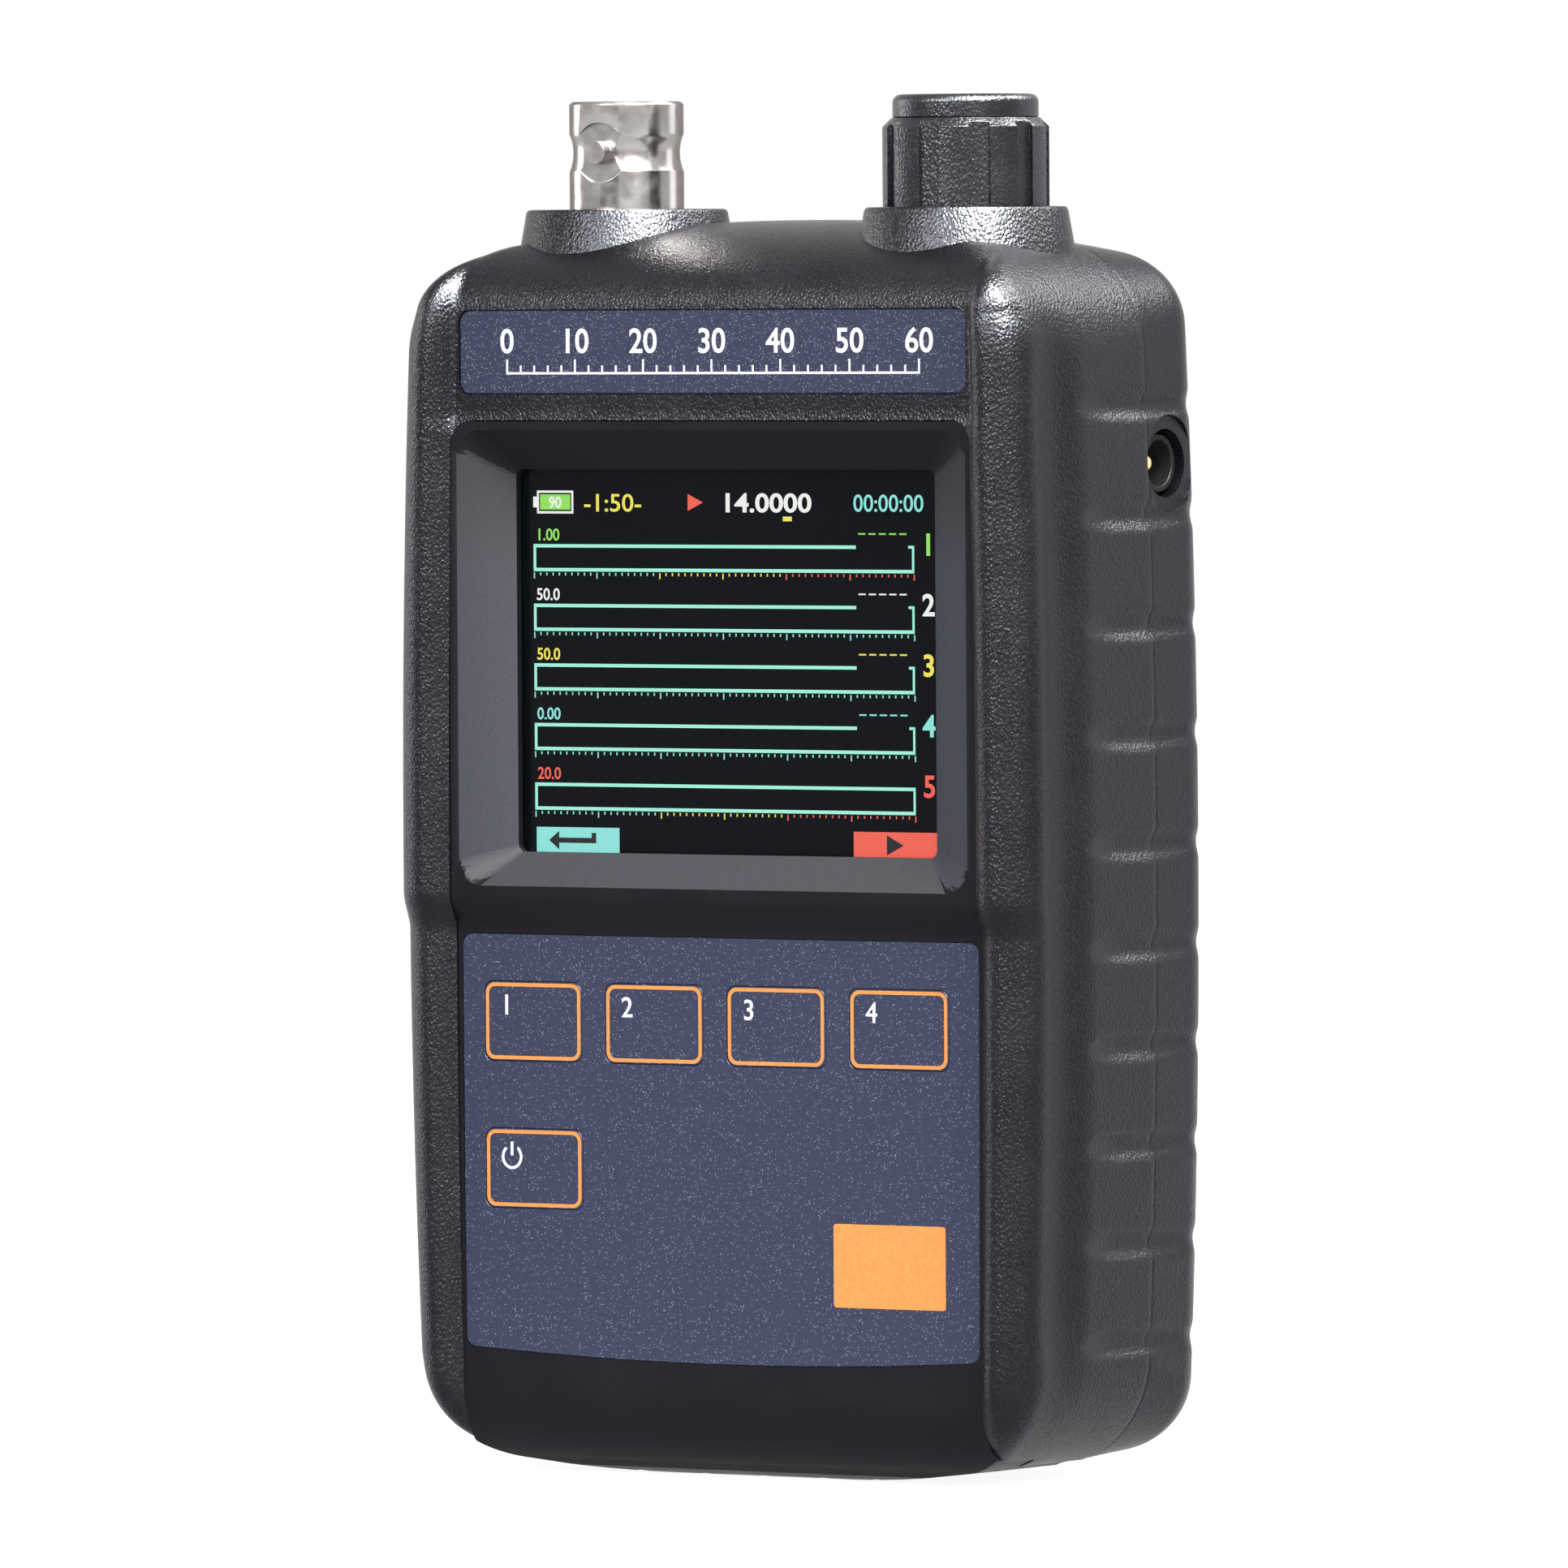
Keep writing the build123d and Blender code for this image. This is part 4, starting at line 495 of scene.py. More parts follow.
def skin(name, front, pivot_y, start_turn, thickness, loops):
    """A moulded shell: its outside follows the case closely, its inside more coarsely. The outside
    has loops rows of points from start_turn to the parting plane, or from there to the back."""
    fine_rows, seam_chamfer = 260, 0.07
    spoke = spokes()
    px, pz, dx, dz = spoke
    count = len(px)
    edge = hit(spoke, parting_y + (-1e-4 if front else 1e-3), np.full((count, 1), np.pi / 2))
    edge_turn = np.pi / 2 + np.arctan2(parting_y - pivot_y, edge)
    if front:
        first, last = np.full((count, 1), start_turn), edge_turn
    else:
        first, last = edge_turn, np.full((count, 1), np.pi - start_turn)
    turn = first + (last - first) * np.linspace(0, 1, fine_rows)
    reach = hit(spoke, pivot_y, turn)
    hops = np.hypot(np.diff(reach * np.sin(turn)), np.diff(-reach * np.cos(turn)))
    run = np.concatenate((np.zeros((count, 1)), np.cumsum(hops, axis=1)), axis=1)
    even = np.linspace(0, 1, loops)
    turn = np.stack([np.interp(even * r[-1], r, t) for r, t in zip(run, turn)])
    reach = hit(spoke, pivot_y, turn)

    # the inside lies square under the outside, and both end in the parting plane
    out_s, out_y = reach * np.sin(turn), pivot_y - reach * np.cos(turn)
    flow_s, flow_y = np.gradient(out_s, axis=1), np.gradient(out_y, axis=1)
    length = np.hypot(flow_s, flow_y) + 1e-9
    in_s, in_y = out_s - thickness * flow_y / length, out_y + thickness * flow_s / length
    rim = loops - 1 if front else 0
    out_y[:, rim] = in_y[:, rim] = parting_y
    in_s[:, rim] = out_s[:, rim] - thickness
    out_s[:, rim] -= seam_chamfer
    out_y = np.where(out_y > back_y - 1e-3, back_y, out_y)
    in_y = np.minimum(in_y, parting_y) if front else np.maximum(in_y, parting_y)
    rings = list(range(0, loops, coarse_step))
    if rings[-1] != loops - 1:
        rings[-1] = loops - 1
    in_s, in_y = in_s[::coarse_step, rings], in_y[::coarse_step, rings]
    outside = np.stack((px + dx * out_s, out_y, pz + dz * out_s), axis=2).reshape(-1, 3)
    px, pz, dx, dz = spoke[:, ::coarse_step]
    inside = np.stack((px + dx * in_s, in_y, pz + dz * in_s), axis=2).reshape(-1, 3)
    points = np.concatenate((outside, inside)) / 1000

    faces = []
    for i in range(count):
        j = (i + 1) % count
        for k in range(loops - 1):
            faces.append((i * loops + k, j * loops + k, j * loops + k + 1, i * loops + k + 1))
    coarse, depth = count // coarse_step, len(rings)
    for i in range(coarse):
        here = count * loops + i * depth
        there = count * loops + (i + 1) % coarse * depth
        for k in range(depth - 1):
            faces.append((here + k, here + k + 1, there + k + 1, there + k))
        first_rim = [(coarse_step * i + t) % count * loops for t in range(coarse_step + 1)]
        faces.append((*first_rim[::-1], here, there))
        if front:
            faces.append((*(point + rim for point in first_rim), there + depth - 1, here + depth - 1))
    if not front:
        faces.append(tuple(i * loops + loops - 1 for i in range(count)))
        faces.append(tuple(count * loops + i * depth + depth - 1 for i in reversed(range(coarse))))

    # the corners of the faces run clockwise above, so they are turned round to face outwards
    mesh = bpy.data.meshes.new(name)
    mesh.from_pydata([tuple(p) for p in points], [], [face[::-1] for face in faces])
    mesh.update()
    return mesh


def rounded(x, z, width, height, radius):
    """A rectangle with rounded corners around x, z."""
    loop = []
    for corner, (sx, sz) in enumerate(((1, 1), (-1, 1), (-1, -1), (1, -1))):
        for step in range(7):
            turn = radians(90 * corner + 15 * step)
            loop.append((x + sx * (width / 2 - radius) + radius * cos(turn),
                         z + sz * (height / 2 - radius) + radius * sin(turn)))
    return loop


def black_grain(name, grain, depth, shade, shine):
    """Moulded black plastic with a leathery grain: pebbles grain millimetres across and wrinkles
    half that, depth high."""
    plastic = Recipe(name)
    flow = plastic.place(stretch=(1, 1, 0.8), turn=(0, 0.3, 0.2))
    pebbles = plastic.span(plastic.cells(flow, grain)["Distance"], 0.0, 0.75, 1.0, 0.0)
    height = plastic.sum(pebbles, plastic.noise(flow, grain / 2, distortion=0.4))
    tone = plastic.tones(height, tuple(0.7 * c for c in shade), tuple(1.3 * c for c in shade))
    return plastic.finish(Base_Color=tone, Roughness=plastic.patchy(5.0, 0.25, 0.32, detail=3),
                          Normal=plastic.relief(height, depth), Specular_IOR_Level=shine,
                          Specular_Tint=(0.90, 0.92, 1.0))


def smooth_by_angle(mesh, angle):
    """Smooth shading, with edges sharper than angle (degrees) kept sharp."""
    mesh.polygons.foreach_set("use_smooth", [True] * len(mesh.polygons))
    mesh.set_sharp_from_angle(angle=radians(angle))


def turned(work, profile, centre, axis="Z", segments=96, parted=None):
    """A closed profile of (radius, height) turned about an axis through centre, in millimetres.
    parted keeps what lies in front of the parting plane (-1) or behind it (1)."""
    seam_gap = 0.03
    turn = bmesh.new()
    rings = []
    for i in range(segments):
        c, s = cos(2 * pi * i / segments), sin(2 * pi * i / segments)
        ring = []
        for r, h in profile:
            arm = {"Z": (r * c, r * s, h), "Y": (r * c, h, r * s), "X": (h, r * c, r * s)}[axis]
            ring.append(turn.verts.new([(a + b) / 1000 for a, b in zip(centre, arm)]))
        rings.append(ring)
    for i in range(segments):
        near, far = rings[i], rings[(i + 1) % segments]
        for k in range(len(profile)):
            j = (k + 1) % len(profile)
            on_axis = profile[k][0] < 1e-6 and profile[j][0] < 1e-6
            if not on_axis:
                turn.faces.new((near[k], far[k], far[j], near[j]))
    bmesh.ops.remove_doubles(turn, verts=turn.verts, dist=1e-7)
    if parted is not None:
        cut = bmesh.ops.bisect_plane(turn, geom=turn.verts[:] + turn.edges[:] + turn.faces[:], dist=1e-7,
                                     plane_co=(0, (parting_y + seam_gap * parted) / 1000, 0),
                                     plane_no=(0, -parted, 0), clear_outer=True)
        cut_edges = [e for e in cut["geom_cut"] if isinstance(e, bmesh.types.BMEdge)]
        bmesh.ops.contextual_create(turn, geom=cut_edges)
    bmesh.ops.recalc_face_normals(turn, faces=turn.faces)
    part = bpy.data.meshes.new("turned_part")
    turn.to_mesh(part)
    turn.free()
    work.from_mesh(part)
    bpy.data.meshes.remove(part)


def prism(work, outline, y0, y1):
    """An outline in X and Z extruded between two depths, in millimetres."""
    near, far = ([work.verts.new((x / 1000, y / 1000, z / 1000)) for x, z in outline]
                 for y in (y0, y1))
    made = [work.faces.new(near), work.faces.new(far[::-1])]
    for i in range(len(near)):
        j = (i + 1) % len(near)
        made.append(work.faces.new((near[j], near[i], far[i], far[j])))
    bmesh.ops.recalc_face_normals(work, faces=made)


def new_piece(name, mesh):
    piece = bpy.data.objects.new(name, mesh)
    scene.collection.objects.link(piece)
    return piece


def made_plain(maker, name):
    """The mesh that an object's modifiers or text come to. The object itself is removed."""
    bpy.context.view_layer.update()
    mesh = bpy.data.meshes.new_from_object(maker.evaluated_get(bpy.context.evaluated_depsgraph_get()))
    mesh.name = name
    bpy.data.objects.remove(maker)
    return mesh


def shell_piece(node, mesh, cutters, added, material):
    """A shell's skin less the cutters, with what is added to it."""
    name = f"{node}_skin"
    tool_mesh = bpy.data.meshes.new(f"{name}_cutters")
    cutters.to_mesh(tool_mesh)
    cutters.free()
    tool = new_piece(f"{name}_cutters", tool_mesh)
    whole = new_piece(f"{name}_whole", mesh)
    cut = whole.modifiers.new("cut", "BOOLEAN")
    cut.operation = "DIFFERENCE"
    cut.solver = "EXACT"
    cut.object = tool
    made = made_plain(whole, name)
    bpy.data.objects.remove(tool)
    made.materials.clear()
    made.materials.append(material)
    added.from_mesh(made)
    added.to_mesh(made)
    added.free()
    smooth_by_angle(made, 32)
    for face in made.polygons:
        lies_flat = abs(face.normal.y) >= 0.99999  # in the seam, or on the case's back
        face.use_smooth = not lies_flat
    piece = new_piece(name, made)
    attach(piece, "case")
    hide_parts(node)


def bore(radius, low, high):
    """The profile of a round hole."""
    return [(0, low), (radius, low), (radius, high), (0, high)]


def boss_holes(work):
    """Clears the shell inside the rings of the bosses. The holes end under the rings."""
    turned(work, bore(8.0, 90, 110), (-boss_x, boss_y, 0))
    turned(work, bore(7.85, 90, 110), (boss_x, boss_y, 0))


def boss_rings(work, parted):
    """The raised ring around the radio socket and the one around the knob's pocket."""
    foot, pocket_floor = 96.0, 101.7
    edge, chamfer, draft = 0.3, 0.2, radians(10)
    socket_r, pocket_r, bushing_r = 4.9, 7.3, 3.6
    foot_r = boss_r + (boss_top_z - foot) * tan(draft)
    outside = [(foot_r, foot), (boss_r + edge * 0.17, boss_top_z - edge),
               (boss_r - edge * 0.28, boss_top_z - edge * 0.25), (boss_r - edge, boss_top_z)]
    socket_hole = [(socket_r + chamfer, boss_top_z), (socket_r, boss_top_z - chamfer), (socket_r, foot)]
    knob_pocket = [(pocket_r + chamfer, boss_top_z), (pocket_r, boss_top_z - chamfer),
                   (pocket_r, pocket_floor), (bushing_r, pocket_floor), (bushing_r, foot)]
    turned(work, outside + socket_hole, (-boss_x, boss_y, 0), parted=parted)
    turned(work, outside + knob_pocket, (boss_x, boss_y, 0), parted=parted)


front_grain = black_grain("front_shell_grain", 0.25, 0.072, (0.0080, 0.0080, 0.0118), shine=0.11)
back_grain = black_grain("back_shell_grain", 0.25, 0.05, (0.0070, 0.0070, 0.0105), shine=0.085)

panel_corner_r = 2
panel_side = []
for turn in [radians(15 * i) for i in range(7)]:
    z = panel_top_z - panel_corner_r * (1 - cos(turn))
    panel_side.append((panel_edge(z) - panel_corner_r * (1 - sin(turn)), z))
panel_side += [(panel_edge(z), z) for z in [80 - 6 * i for i in range(12)] + [6, 0, -6]]
label_pocket = rounded(0, 93.475, 50.9, 7.05, 1.0)
before_y, panel_bed_y, label_bed_y = -25, -5.1, -13.05
front_cutters = bmesh.new()
prism(front_cutters, panel_side + [(-x, z) for x, z in reversed(panel_side)], before_y, panel_bed_y)
prism(front_cutters, label_pocket, before_y, label_bed_y)
boss_holes(front_cutters)
front_rings = bmesh.new()
boss_rings(front_rings, -1)
front_mesh = skin("front_shell_skin", front=True, pivot_y=-8.0, start_turn=radians(5), thickness=2.0,
                  loops=64)
shell_piece("front_shell", front_mesh, front_cutters, front_rings, front_grain)

jack_place = (0, 8.4, 84.0)
jack_r, jack_recess_r, jack_recess_x = 2.85, 4.03, 30.5
jack_hole = [(0, 20), (jack_r, 20), (jack_r, jack_recess_x), (jack_recess_r, jack_recess_x),
             (jack_recess_r, 40), (0, 40)]
screw_places = [(x, z) for x in (-22.5, 22.5) for z in (10.0, 90.7)]
post_r, head_r, shank_r = 3.3, 2.4, 1.45
post_end_y, head_seat_y, post_back_y = 10.4, 11.4, 15.38
screw_post = [(post_r, post_end_y), (post_r, post_back_y), (head_r + 0.15, post_back_y),
              (head_r, post_back_y - 0.18), (head_r, head_seat_y), (shank_r, head_seat_y),
              (shank_r, post_end_y)]
back_cutters = bmesh.new()
turned(back_cutters, jack_hole, jack_place, axis="X")
boss_holes(back_cutters)
back_rings = bmesh.new()
boss_rings(back_rings, 1)
for x, z in screw_places:
    turned(back_cutters, bore(head_r + 0.1, 12, 20), (x, 0, z), axis="Y", segments=48)
    turned(back_rings, screw_post, (x, 0, z), axis="Y", segments=48)
back_mesh = skin("back_shell_skin", front=False, pivot_y=1.0, start_turn=radians(8), thickness=1.8,
                 loops=44)
shell_piece("back_shell", back_mesh, back_cutters, back_rings, back_grain)

# ---------------------------------------------------------------- front panel
# A separate charcoal moulding, almost smooth, with the sloping bezel around the display. It is
# screwed in from the back, and a fine seam runs all round it.


def dressed_copy(node, material, softness):
    """A cleaned copy of a CAD node with its hard edges softened by softness millimetres."""
    source = frame["nodes"][node]
    mesh = source.data.copy()
    mesh.name = f"{node}_skin"
    piece = new_piece(f"{node}_skin", mesh)
    work = bmesh.new()
    work.from_mesh(mesh)
    bmesh.ops.remove_doubles(work, verts=work.verts, dist=2e-6)
    bmesh.ops.dissolve_degenerate(work, edges=work.edges, dist=2e-6)
    bmesh.ops.dissolve_limit(work, angle_limit=radians(0.5), verts=work.verts, edges=work.edges)
    work.to_mesh(mesh)
    work.free()
    mesh.materials.clear()
    mesh.materials.append(material)
    bevel = piece.modifiers.new("softened_edges", "BEVEL")
    bevel.width = softness / 1000
    bevel.segments = 2
    bevel.limit_method = "ANGLE"
    bevel.angle_limit = radians(28)
    smooth_by_angle(mesh, 40)
    even = piece.modifiers.new("even_shading", "WEIGHTED_NORMAL")
    even.keep_sharp = True
    even.weight = 60
    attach(piece, source["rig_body"])
    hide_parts(node)
    return piece


panel_plastic = Recipe("panel_plastic")
panel_height = panel_plastic.sum(panel_plastic.noise(panel_plastic.place(), 0.16),
                                 panel_plastic.noise(panel_plastic.place(), 0.6), 0.3)
panel_plastic.finish(Base_Color=(0.0062, 0.0060, 0.0082), Specular_IOR_Level=0.06,
                     Specular_Tint=(0.88, 0.91, 1.0), Normal=panel_plastic.relief(panel_height, 0.02, 0.8),
                     Roughness=panel_plastic.patchy(7.0, 0.34, 0.42, detail=3))
panel_skin = dressed_copy("display_panel", panel_plastic.material, softness=0.12)

# the bezel's side and lower slopes are spark-eroded matte, and so paler than the flats; towards the top
# their colour is darkened to a painted shade, and the top slope, which faces down, keeps the flats' finish
slope_plastic = Recipe("bezel_slope_plastic")
slope_speckle = slope_plastic.noise(slope_plastic.place(), 0.14)
slope_height = slope_plastic.node("ShaderNodeSeparateXYZ", {0: slope_plastic.place()})["Z"]
slope_pale = slope_plastic.tones(slope_speckle, (0.021, 0.023, 0.032), (0.033, 0.035, 0.049))
# painted shade: from 74 to 86 mm up, the slopes' pale colour fades to near black, standing in for the shade
# near the top of the bezel
slope_pale_and_painted_shade = slope_plastic.blend(slope_plastic.span(slope_height, 74, 86, 0, 0.85, smooth=True),
                                 slope_pale, (0.0075, 0.0073, 0.0098))
slope_plastic.finish(Base_Color=slope_pale_and_painted_shade, Roughness=0.6, Specular_IOR_Level=0.08,
                     Normal=slope_plastic.relief(slope_speckle, 0.02, 0.8))
panel_skin.data.materials.append(slope_plastic.material)
bezel_half_width, bezel_foot_z, bezel_top_z = 25, 49.5, 86
for face in panel_skin.data.polygons:
    middle = 1000 * face.center
    in_bezel = abs(middle.x) < bezel_half_width and bezel_foot_z < middle.z < bezel_top_z
    if in_bezel and -0.99 < face.normal.y < -0.5 and face.normal.z > -0.15:
        face.material_index = 1

# ---------------------------------------------------------------- label plate and keypad overlay
# Two printed sheets of polycarbonate, blue-grey with a metallic fleck in the ink. The label
# lies in the shell's shallow pocket, the overlay in the panel's, with slots for the keys.


def screen_colour(red, green, blue):
    """A colour given in the usual 0 to 255 steps, as the linear values that the shader takes."""
    steps = [c / 255 for c in (red, green, blue)]
    return tuple(c / 12.92 if c <= 0.04045 else ((c + 0.055) / 1.055) ** 2.4 for c in steps)


film_blue = screen_colour(50, 55, 79)
film_fleck = screen_colour(196, 200, 214)


def flecked_film(name, blue_grey, share):
    """Satin film with silver flecks in its ink; share is the part of the cells that has one."""
    film = Recipe(name)
    at = film.place()
    grit = film.cells(at, 0.11)
    chance = film.node("ShaderNodeSeparateColor", {"Color": grit["Color"]})
    chosen = film.span(chance["Red"], 1 - share, 1 - share + 0.02, 0, 1)
    fleck = film.times(chosen, film.span(grit["Distance"], 0.25, 0.5, 1, 0))
    glint = film.times(fleck, film.span(chance["Green"], 0, 1, 0.12, 0.75))
    cloud = film.tones(film.noise(at, 0.35, detail=3, rough=0.7),
                       tuple(0.86 * c for c in blue_grey), tuple(1.16 * c for c in blue_grey))
    return film.finish(Base_Color=film.blend(glint, cloud, film_fleck), Roughness=0.42,
                       Specular_IOR_Level=0.08, Normal=film.relief(film.noise(at, 0.12), 0.006, 0.6))


overlay_film = flecked_film("overlay_film", film_blue, 0.11)
label_film = flecked_film("label_film", tuple(0.96 * c for c in film_blue), 0.16)
dressed_copy("label_plate", label_film, softness=0.08)
dressed_copy("keypad_overlay", overlay_film, softness=0.06)

# ---------------------------------------------------------------- number scale on the label
# A plain ruler of numbers from 0 to 60. It is screen-printed in white on the label film, as a
# thin layer of ink.
ink_thickness = 0.03


def close_tones(name, blotch, dark, light, **sockets):
    """A finish of two close tones, in blotches about blotch millimetres across."""
    made = Recipe(name)
    return made.finish(Base_Color=made.mottled(blotch, dark, light), **sockets)


def printed_on(surface_y, material, body, slot):
    """How a layer of ink lies: proud of the surface by its thickness, and sunk in by a hair."""
    return {"face_y": surface_y - ink_thickness, "thickness": ink_thickness + 0.01,
            "material": material, "body": body, "slot": slot}


def laid(name, mesh, material, body):
    """Makes a mesh a printed piece that rides on a body."""
    mesh.materials.clear()
    mesh.materials.append(material)
    piece = new_piece(name, mesh)
    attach(piece, body)


def flat_shapes(name, outlines, face_y, thickness, material, body, slot):
    """Thin layers: outlines in X and Z (millimetres), each a closed loop of points, or a pair of
    loops for a ring, with their faces at face_y."""
    work = bmesh.new()
    for outline in outlines:
        loops = outline if isinstance(outline[0][0], (tuple, list)) else [outline]
        front, back = ([[work.verts.new((x / 1000, y / 1000, z / 1000)) for x, z in loop] for loop in loops]
                       for y in (face_y, face_y + thickness))
        if len(loops) == 1:
            work.faces.new(front[0])
            work.faces.new(back[0][::-1])
        for i in range(len(front[0])):
            j = (i + 1) % len(front[0])
            if len(loops) == 2:
                for outer, inner in (front, back):
                    work.faces.new((outer[i], outer[j], inner[j], inner[i]))
            for near, far in zip(front, back):
                work.faces.new((near[i], near[j], far[j], far[i]))
    bmesh.ops.recalc_face_normals(work, faces=work.faces)
    mesh = bpy.data.meshes.new(name)
    work.to_mesh(mesh)
    work.free()
    laid(name, mesh, material, body)


def bar(x0, z0, x1, z1):
    """A rectangle from one corner to the other."""
    return [(x0, z0), (x1, z0), (x1, z1), (x0, z1)]


def number(name, text, x, z, height, face_y, thickness, material, body, slot, align="LEFT", bold=0.0,
           widened=1.0):
    """Plain numbers from the built-in font, with their foot at z."""
    writing = bpy.data.curves.new(name, "FONT")
    writing.body = text
    writing.size = height / 0.73 / 1000
    writing.extrude = thickness / 2000
    writing.offset = bold * height / 1000
    writing.align_x = align
    writing.resolution_u = 4
    mesh = made_plain(new_piece(f"{name}_curve", writing), name)
    mesh.transform(Matrix.Diagonal((widened, 1, 1, 1)))
    mesh.transform(Matrix.Translation((x / 1000, (face_y + thickness / 2) / 1000, z / 1000))
                   @ Matrix.Rotation(pi / 2, 4, "X"))
    laid(name, mesh, material, body)


def tick_nodes():
    """The node tree that lays a row of ticks: a line of points, a stroke on each, some taller.
    Direction 1 stands them on the line, and -1 hangs them from it."""
    tree = bpy.data.node_groups.new("tick_row", "GeometryNodeTree")
    inputs = {}
    for name, kind in (("Count", "Int"), ("Pitch", "Float"), ("Width", "Float"), ("Thickness", "Float"),
                       ("Short", "Float"), ("Tall", "Float"), ("Every", "Int"), ("Direction", "Float"),
                       ("Ink", "Material")):
        socket = tree.interface.new_socket(name, in_out="INPUT", socket_type=f"NodeSocket{kind}")
        inputs[name] = socket.identifier
    tree.interface.new_socket("Ticks", in_out="OUTPUT", socket_type="NodeSocketGeometry")

    def add(kind, wires=None, **settings):
        return add_node(tree, kind, wires, **settings)

    def worked_out(operation, first, second):
        return add("ShaderNodeMath", {0: first, 1: second}, operation=operation)[0]

    given = add("NodeGroupInput")
    step = add("ShaderNodeCombineXYZ", {"X": given["Pitch"]})[0]
    line = add("GeometryNodeMeshLine", {"Count": given["Count"], "Offset": step}, mode="OFFSET")["Mesh"]
    size = add("ShaderNodeCombineXYZ", {"X": given["Width"], "Y": given["Thickness"], "Z": 1})[0]
    stroke = add("GeometryNodeMeshCube", {"Size": size})["Mesh"]
    footed = add("GeometryNodeTransform", {"Geometry": stroke, "Translation": (0, 0, 0.5)})["Geometry"]
    beyond = worked_out("MODULO", add("GeometryNodeInputIndex")[0], given["Every"])
    between = worked_out("GREATER_THAN", beyond, 0.5)
    height = add("ShaderNodeMix", {"Factor": between, "A": given["Tall"], "B": given["Short"]},
                 data_type="FLOAT")["Result"]
    hang = worked_out("MINIMUM", worked_out("MULTIPLY", height, given["Direction"]), 0)
    drop = add("ShaderNodeCombineXYZ", {"Z": hang})[0]
    lowered = add("GeometryNodeSetPosition", {"Geometry": line, "Offset": drop})["Geometry"]
    stretch = add("ShaderNodeCombineXYZ", {"X": 1, "Y": 1, "Z": height})[0]
    strokes = add("GeometryNodeInstanceOnPoints", {"Points": lowered, "Instance": footed, "Scale": stretch})
    real = add("GeometryNodeRealizeInstances", {"Geometry": strokes["Instances"]})["Geometry"]
    inked = add("GeometryNodeSetMaterial", {"Geometry": real, "Material": given["Ink"]})["Geometry"]
    tree.links.new(inked, tree.nodes.new("NodeGroupOutput").inputs["Ticks"])
    return tree, inputs


tick_tree, tick_inputs = tick_nodes()


def tick_row(name, x, z, count, pitch, width, short, tall, every, face_y, thickness, material, body,
             slot, hangs=False):
    """A row of ticks from x to the right, in millimetres. The tall ones reach from z up; hangs
    lines all of them up by their tops."""
    made = new_piece(f"{name}_nodes", bpy.data.meshes.new(f"{name}_nodes"))
    rows = made.modifiers.new("tick_row", "NODES")
    rows.node_group = tick_tree
    for key, value in (("Count", count), ("Pitch", pitch / 1000), ("Width", width / 1000),
                       ("Thickness", thickness / 1000), ("Short", short / 1000), ("Tall", tall / 1000),
                       ("Every", every), ("Direction", -1.0 if hangs else 1.0), ("Ink", material)):
        rows[tick_inputs[key]] = value
    mesh = made_plain(made, name)
    line_z = z + tall if hangs else z
    mesh.transform(Matrix.Translation((x / 1000, (face_y + thickness / 2) / 1000, line_z / 1000)))
    laid(name, mesh, material, body)


white_ink = close_tones("white_ink", 0.3, (0.72, 0.74, 0.80), (0.86, 0.88, 0.94), Roughness=0.5,
                        Specular_IOR_Level=0.1)
label_low = 1000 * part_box("label_plate")[0]
label_print = printed_on(label_low.y, white_ink, "case", "label")
scale_left = -20.6
scale_step = 6.9
scale_steps = 6
scale_right = scale_left + scale_steps * scale_step
scale_z = label_low.z + 1.6
scale_stroke = 0.2
base_line = bar(scale_left - scale_stroke / 2, scale_z,
                scale_right + scale_stroke / 2, scale_z + scale_stroke)
flat_shapes("label_ruler", [base_line], **label_print)
tick_row("label_ticks", scale_left, scale_z + 0.15, count=5 * scale_steps + 1, pitch=scale_step / 5,
         width=0.18, short=0.6, tall=1.1, every=5, **label_print)
for mark in range(scale_steps + 1):
    number(f"label_number_{mark}", str(10 * mark), scale_left + mark * scale_step, scale_z + 1.8, 2.1,
           **label_print, align="CENTER", bold=0.02)

# ---------------------------------------------------------------- keys
# Five flat keys under the same printed film. Each is outlined in orange and numbered in white,
# and presses a switch on the board behind it.
orange_ink = close_tones("orange_ink", 0.4, screen_colour(232, 142, 70), screen_colour(242, 154, 80),
                         Roughness=0.45, Specular_IOR_Level=0.1)
outline_width = 9.6
outline_height = 6.38
outline_stroke = 0.3
for place, key in enumerate(("f1", "f2", "f3", "f4", "power"), 1):
    dressed_copy(f"key_{key}", overlay_film, softness=0.08)
    low, high = (1000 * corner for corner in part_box(f"key_{key}"))
    x, z = (low.x + high.x) / 2, (low.z + high.z) / 2
    orange_print, white_print = (printed_on(low.y, colour, f"key_{key}_body", "key")
                                 for colour in (orange_ink, white_ink))
    ring = (rounded(x, z, outline_width, outline_height, 0.85),
            rounded(x, z, outline_width - 2 * outline_stroke, outline_height - 2 * outline_stroke, 0.6))
    flat_shapes(f"key_{key}_outline", [ring], **orange_print)
    if key != "power":
        number(f"key_{key}_number", str(place), x - 3.3, z + 0.55, 1.75, **white_print, bold=0.012)
    else:
        sign_x, sign_z = x - 2.25, z + 0.95
        arc = [(sign_x + r * sin(radians(a)), sign_z + r * cos(radians(a)))
               for r, turns in ((0.8, range(40, 326, 15)), (1.05, range(320, 34, -15))) for a in turns]
        stroke = bar(sign_x - 0.13, sign_z + 0.1, sign_x + 0.13, sign_z + 1.25)
        flat_shapes("key_power_sign", [arc, stroke], **white_print)
overlay_y = 1000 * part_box("keypad_overlay")[0].y
flat_shapes("overlay_block", [rounded(16.95, 18.15, 11.1, 6.9, 0.25)],
            **printed_on(overlay_y, orange_ink, "case", "overlay"))

# ---------------------------------------------------------------- display
# A two-inch colour display behind the window: dark glass over a lit tray. What it shows lies
# just in front of the glass, as thin layers that give light.
display_pane = Recipe("display_pane")
display_pane.finish(Base_Color=(0.003, 0.004, 0.006), Roughness=display_pane.patchy(12.0, 0.12, 0.18),
                    Specular_IOR_Level=0.06)


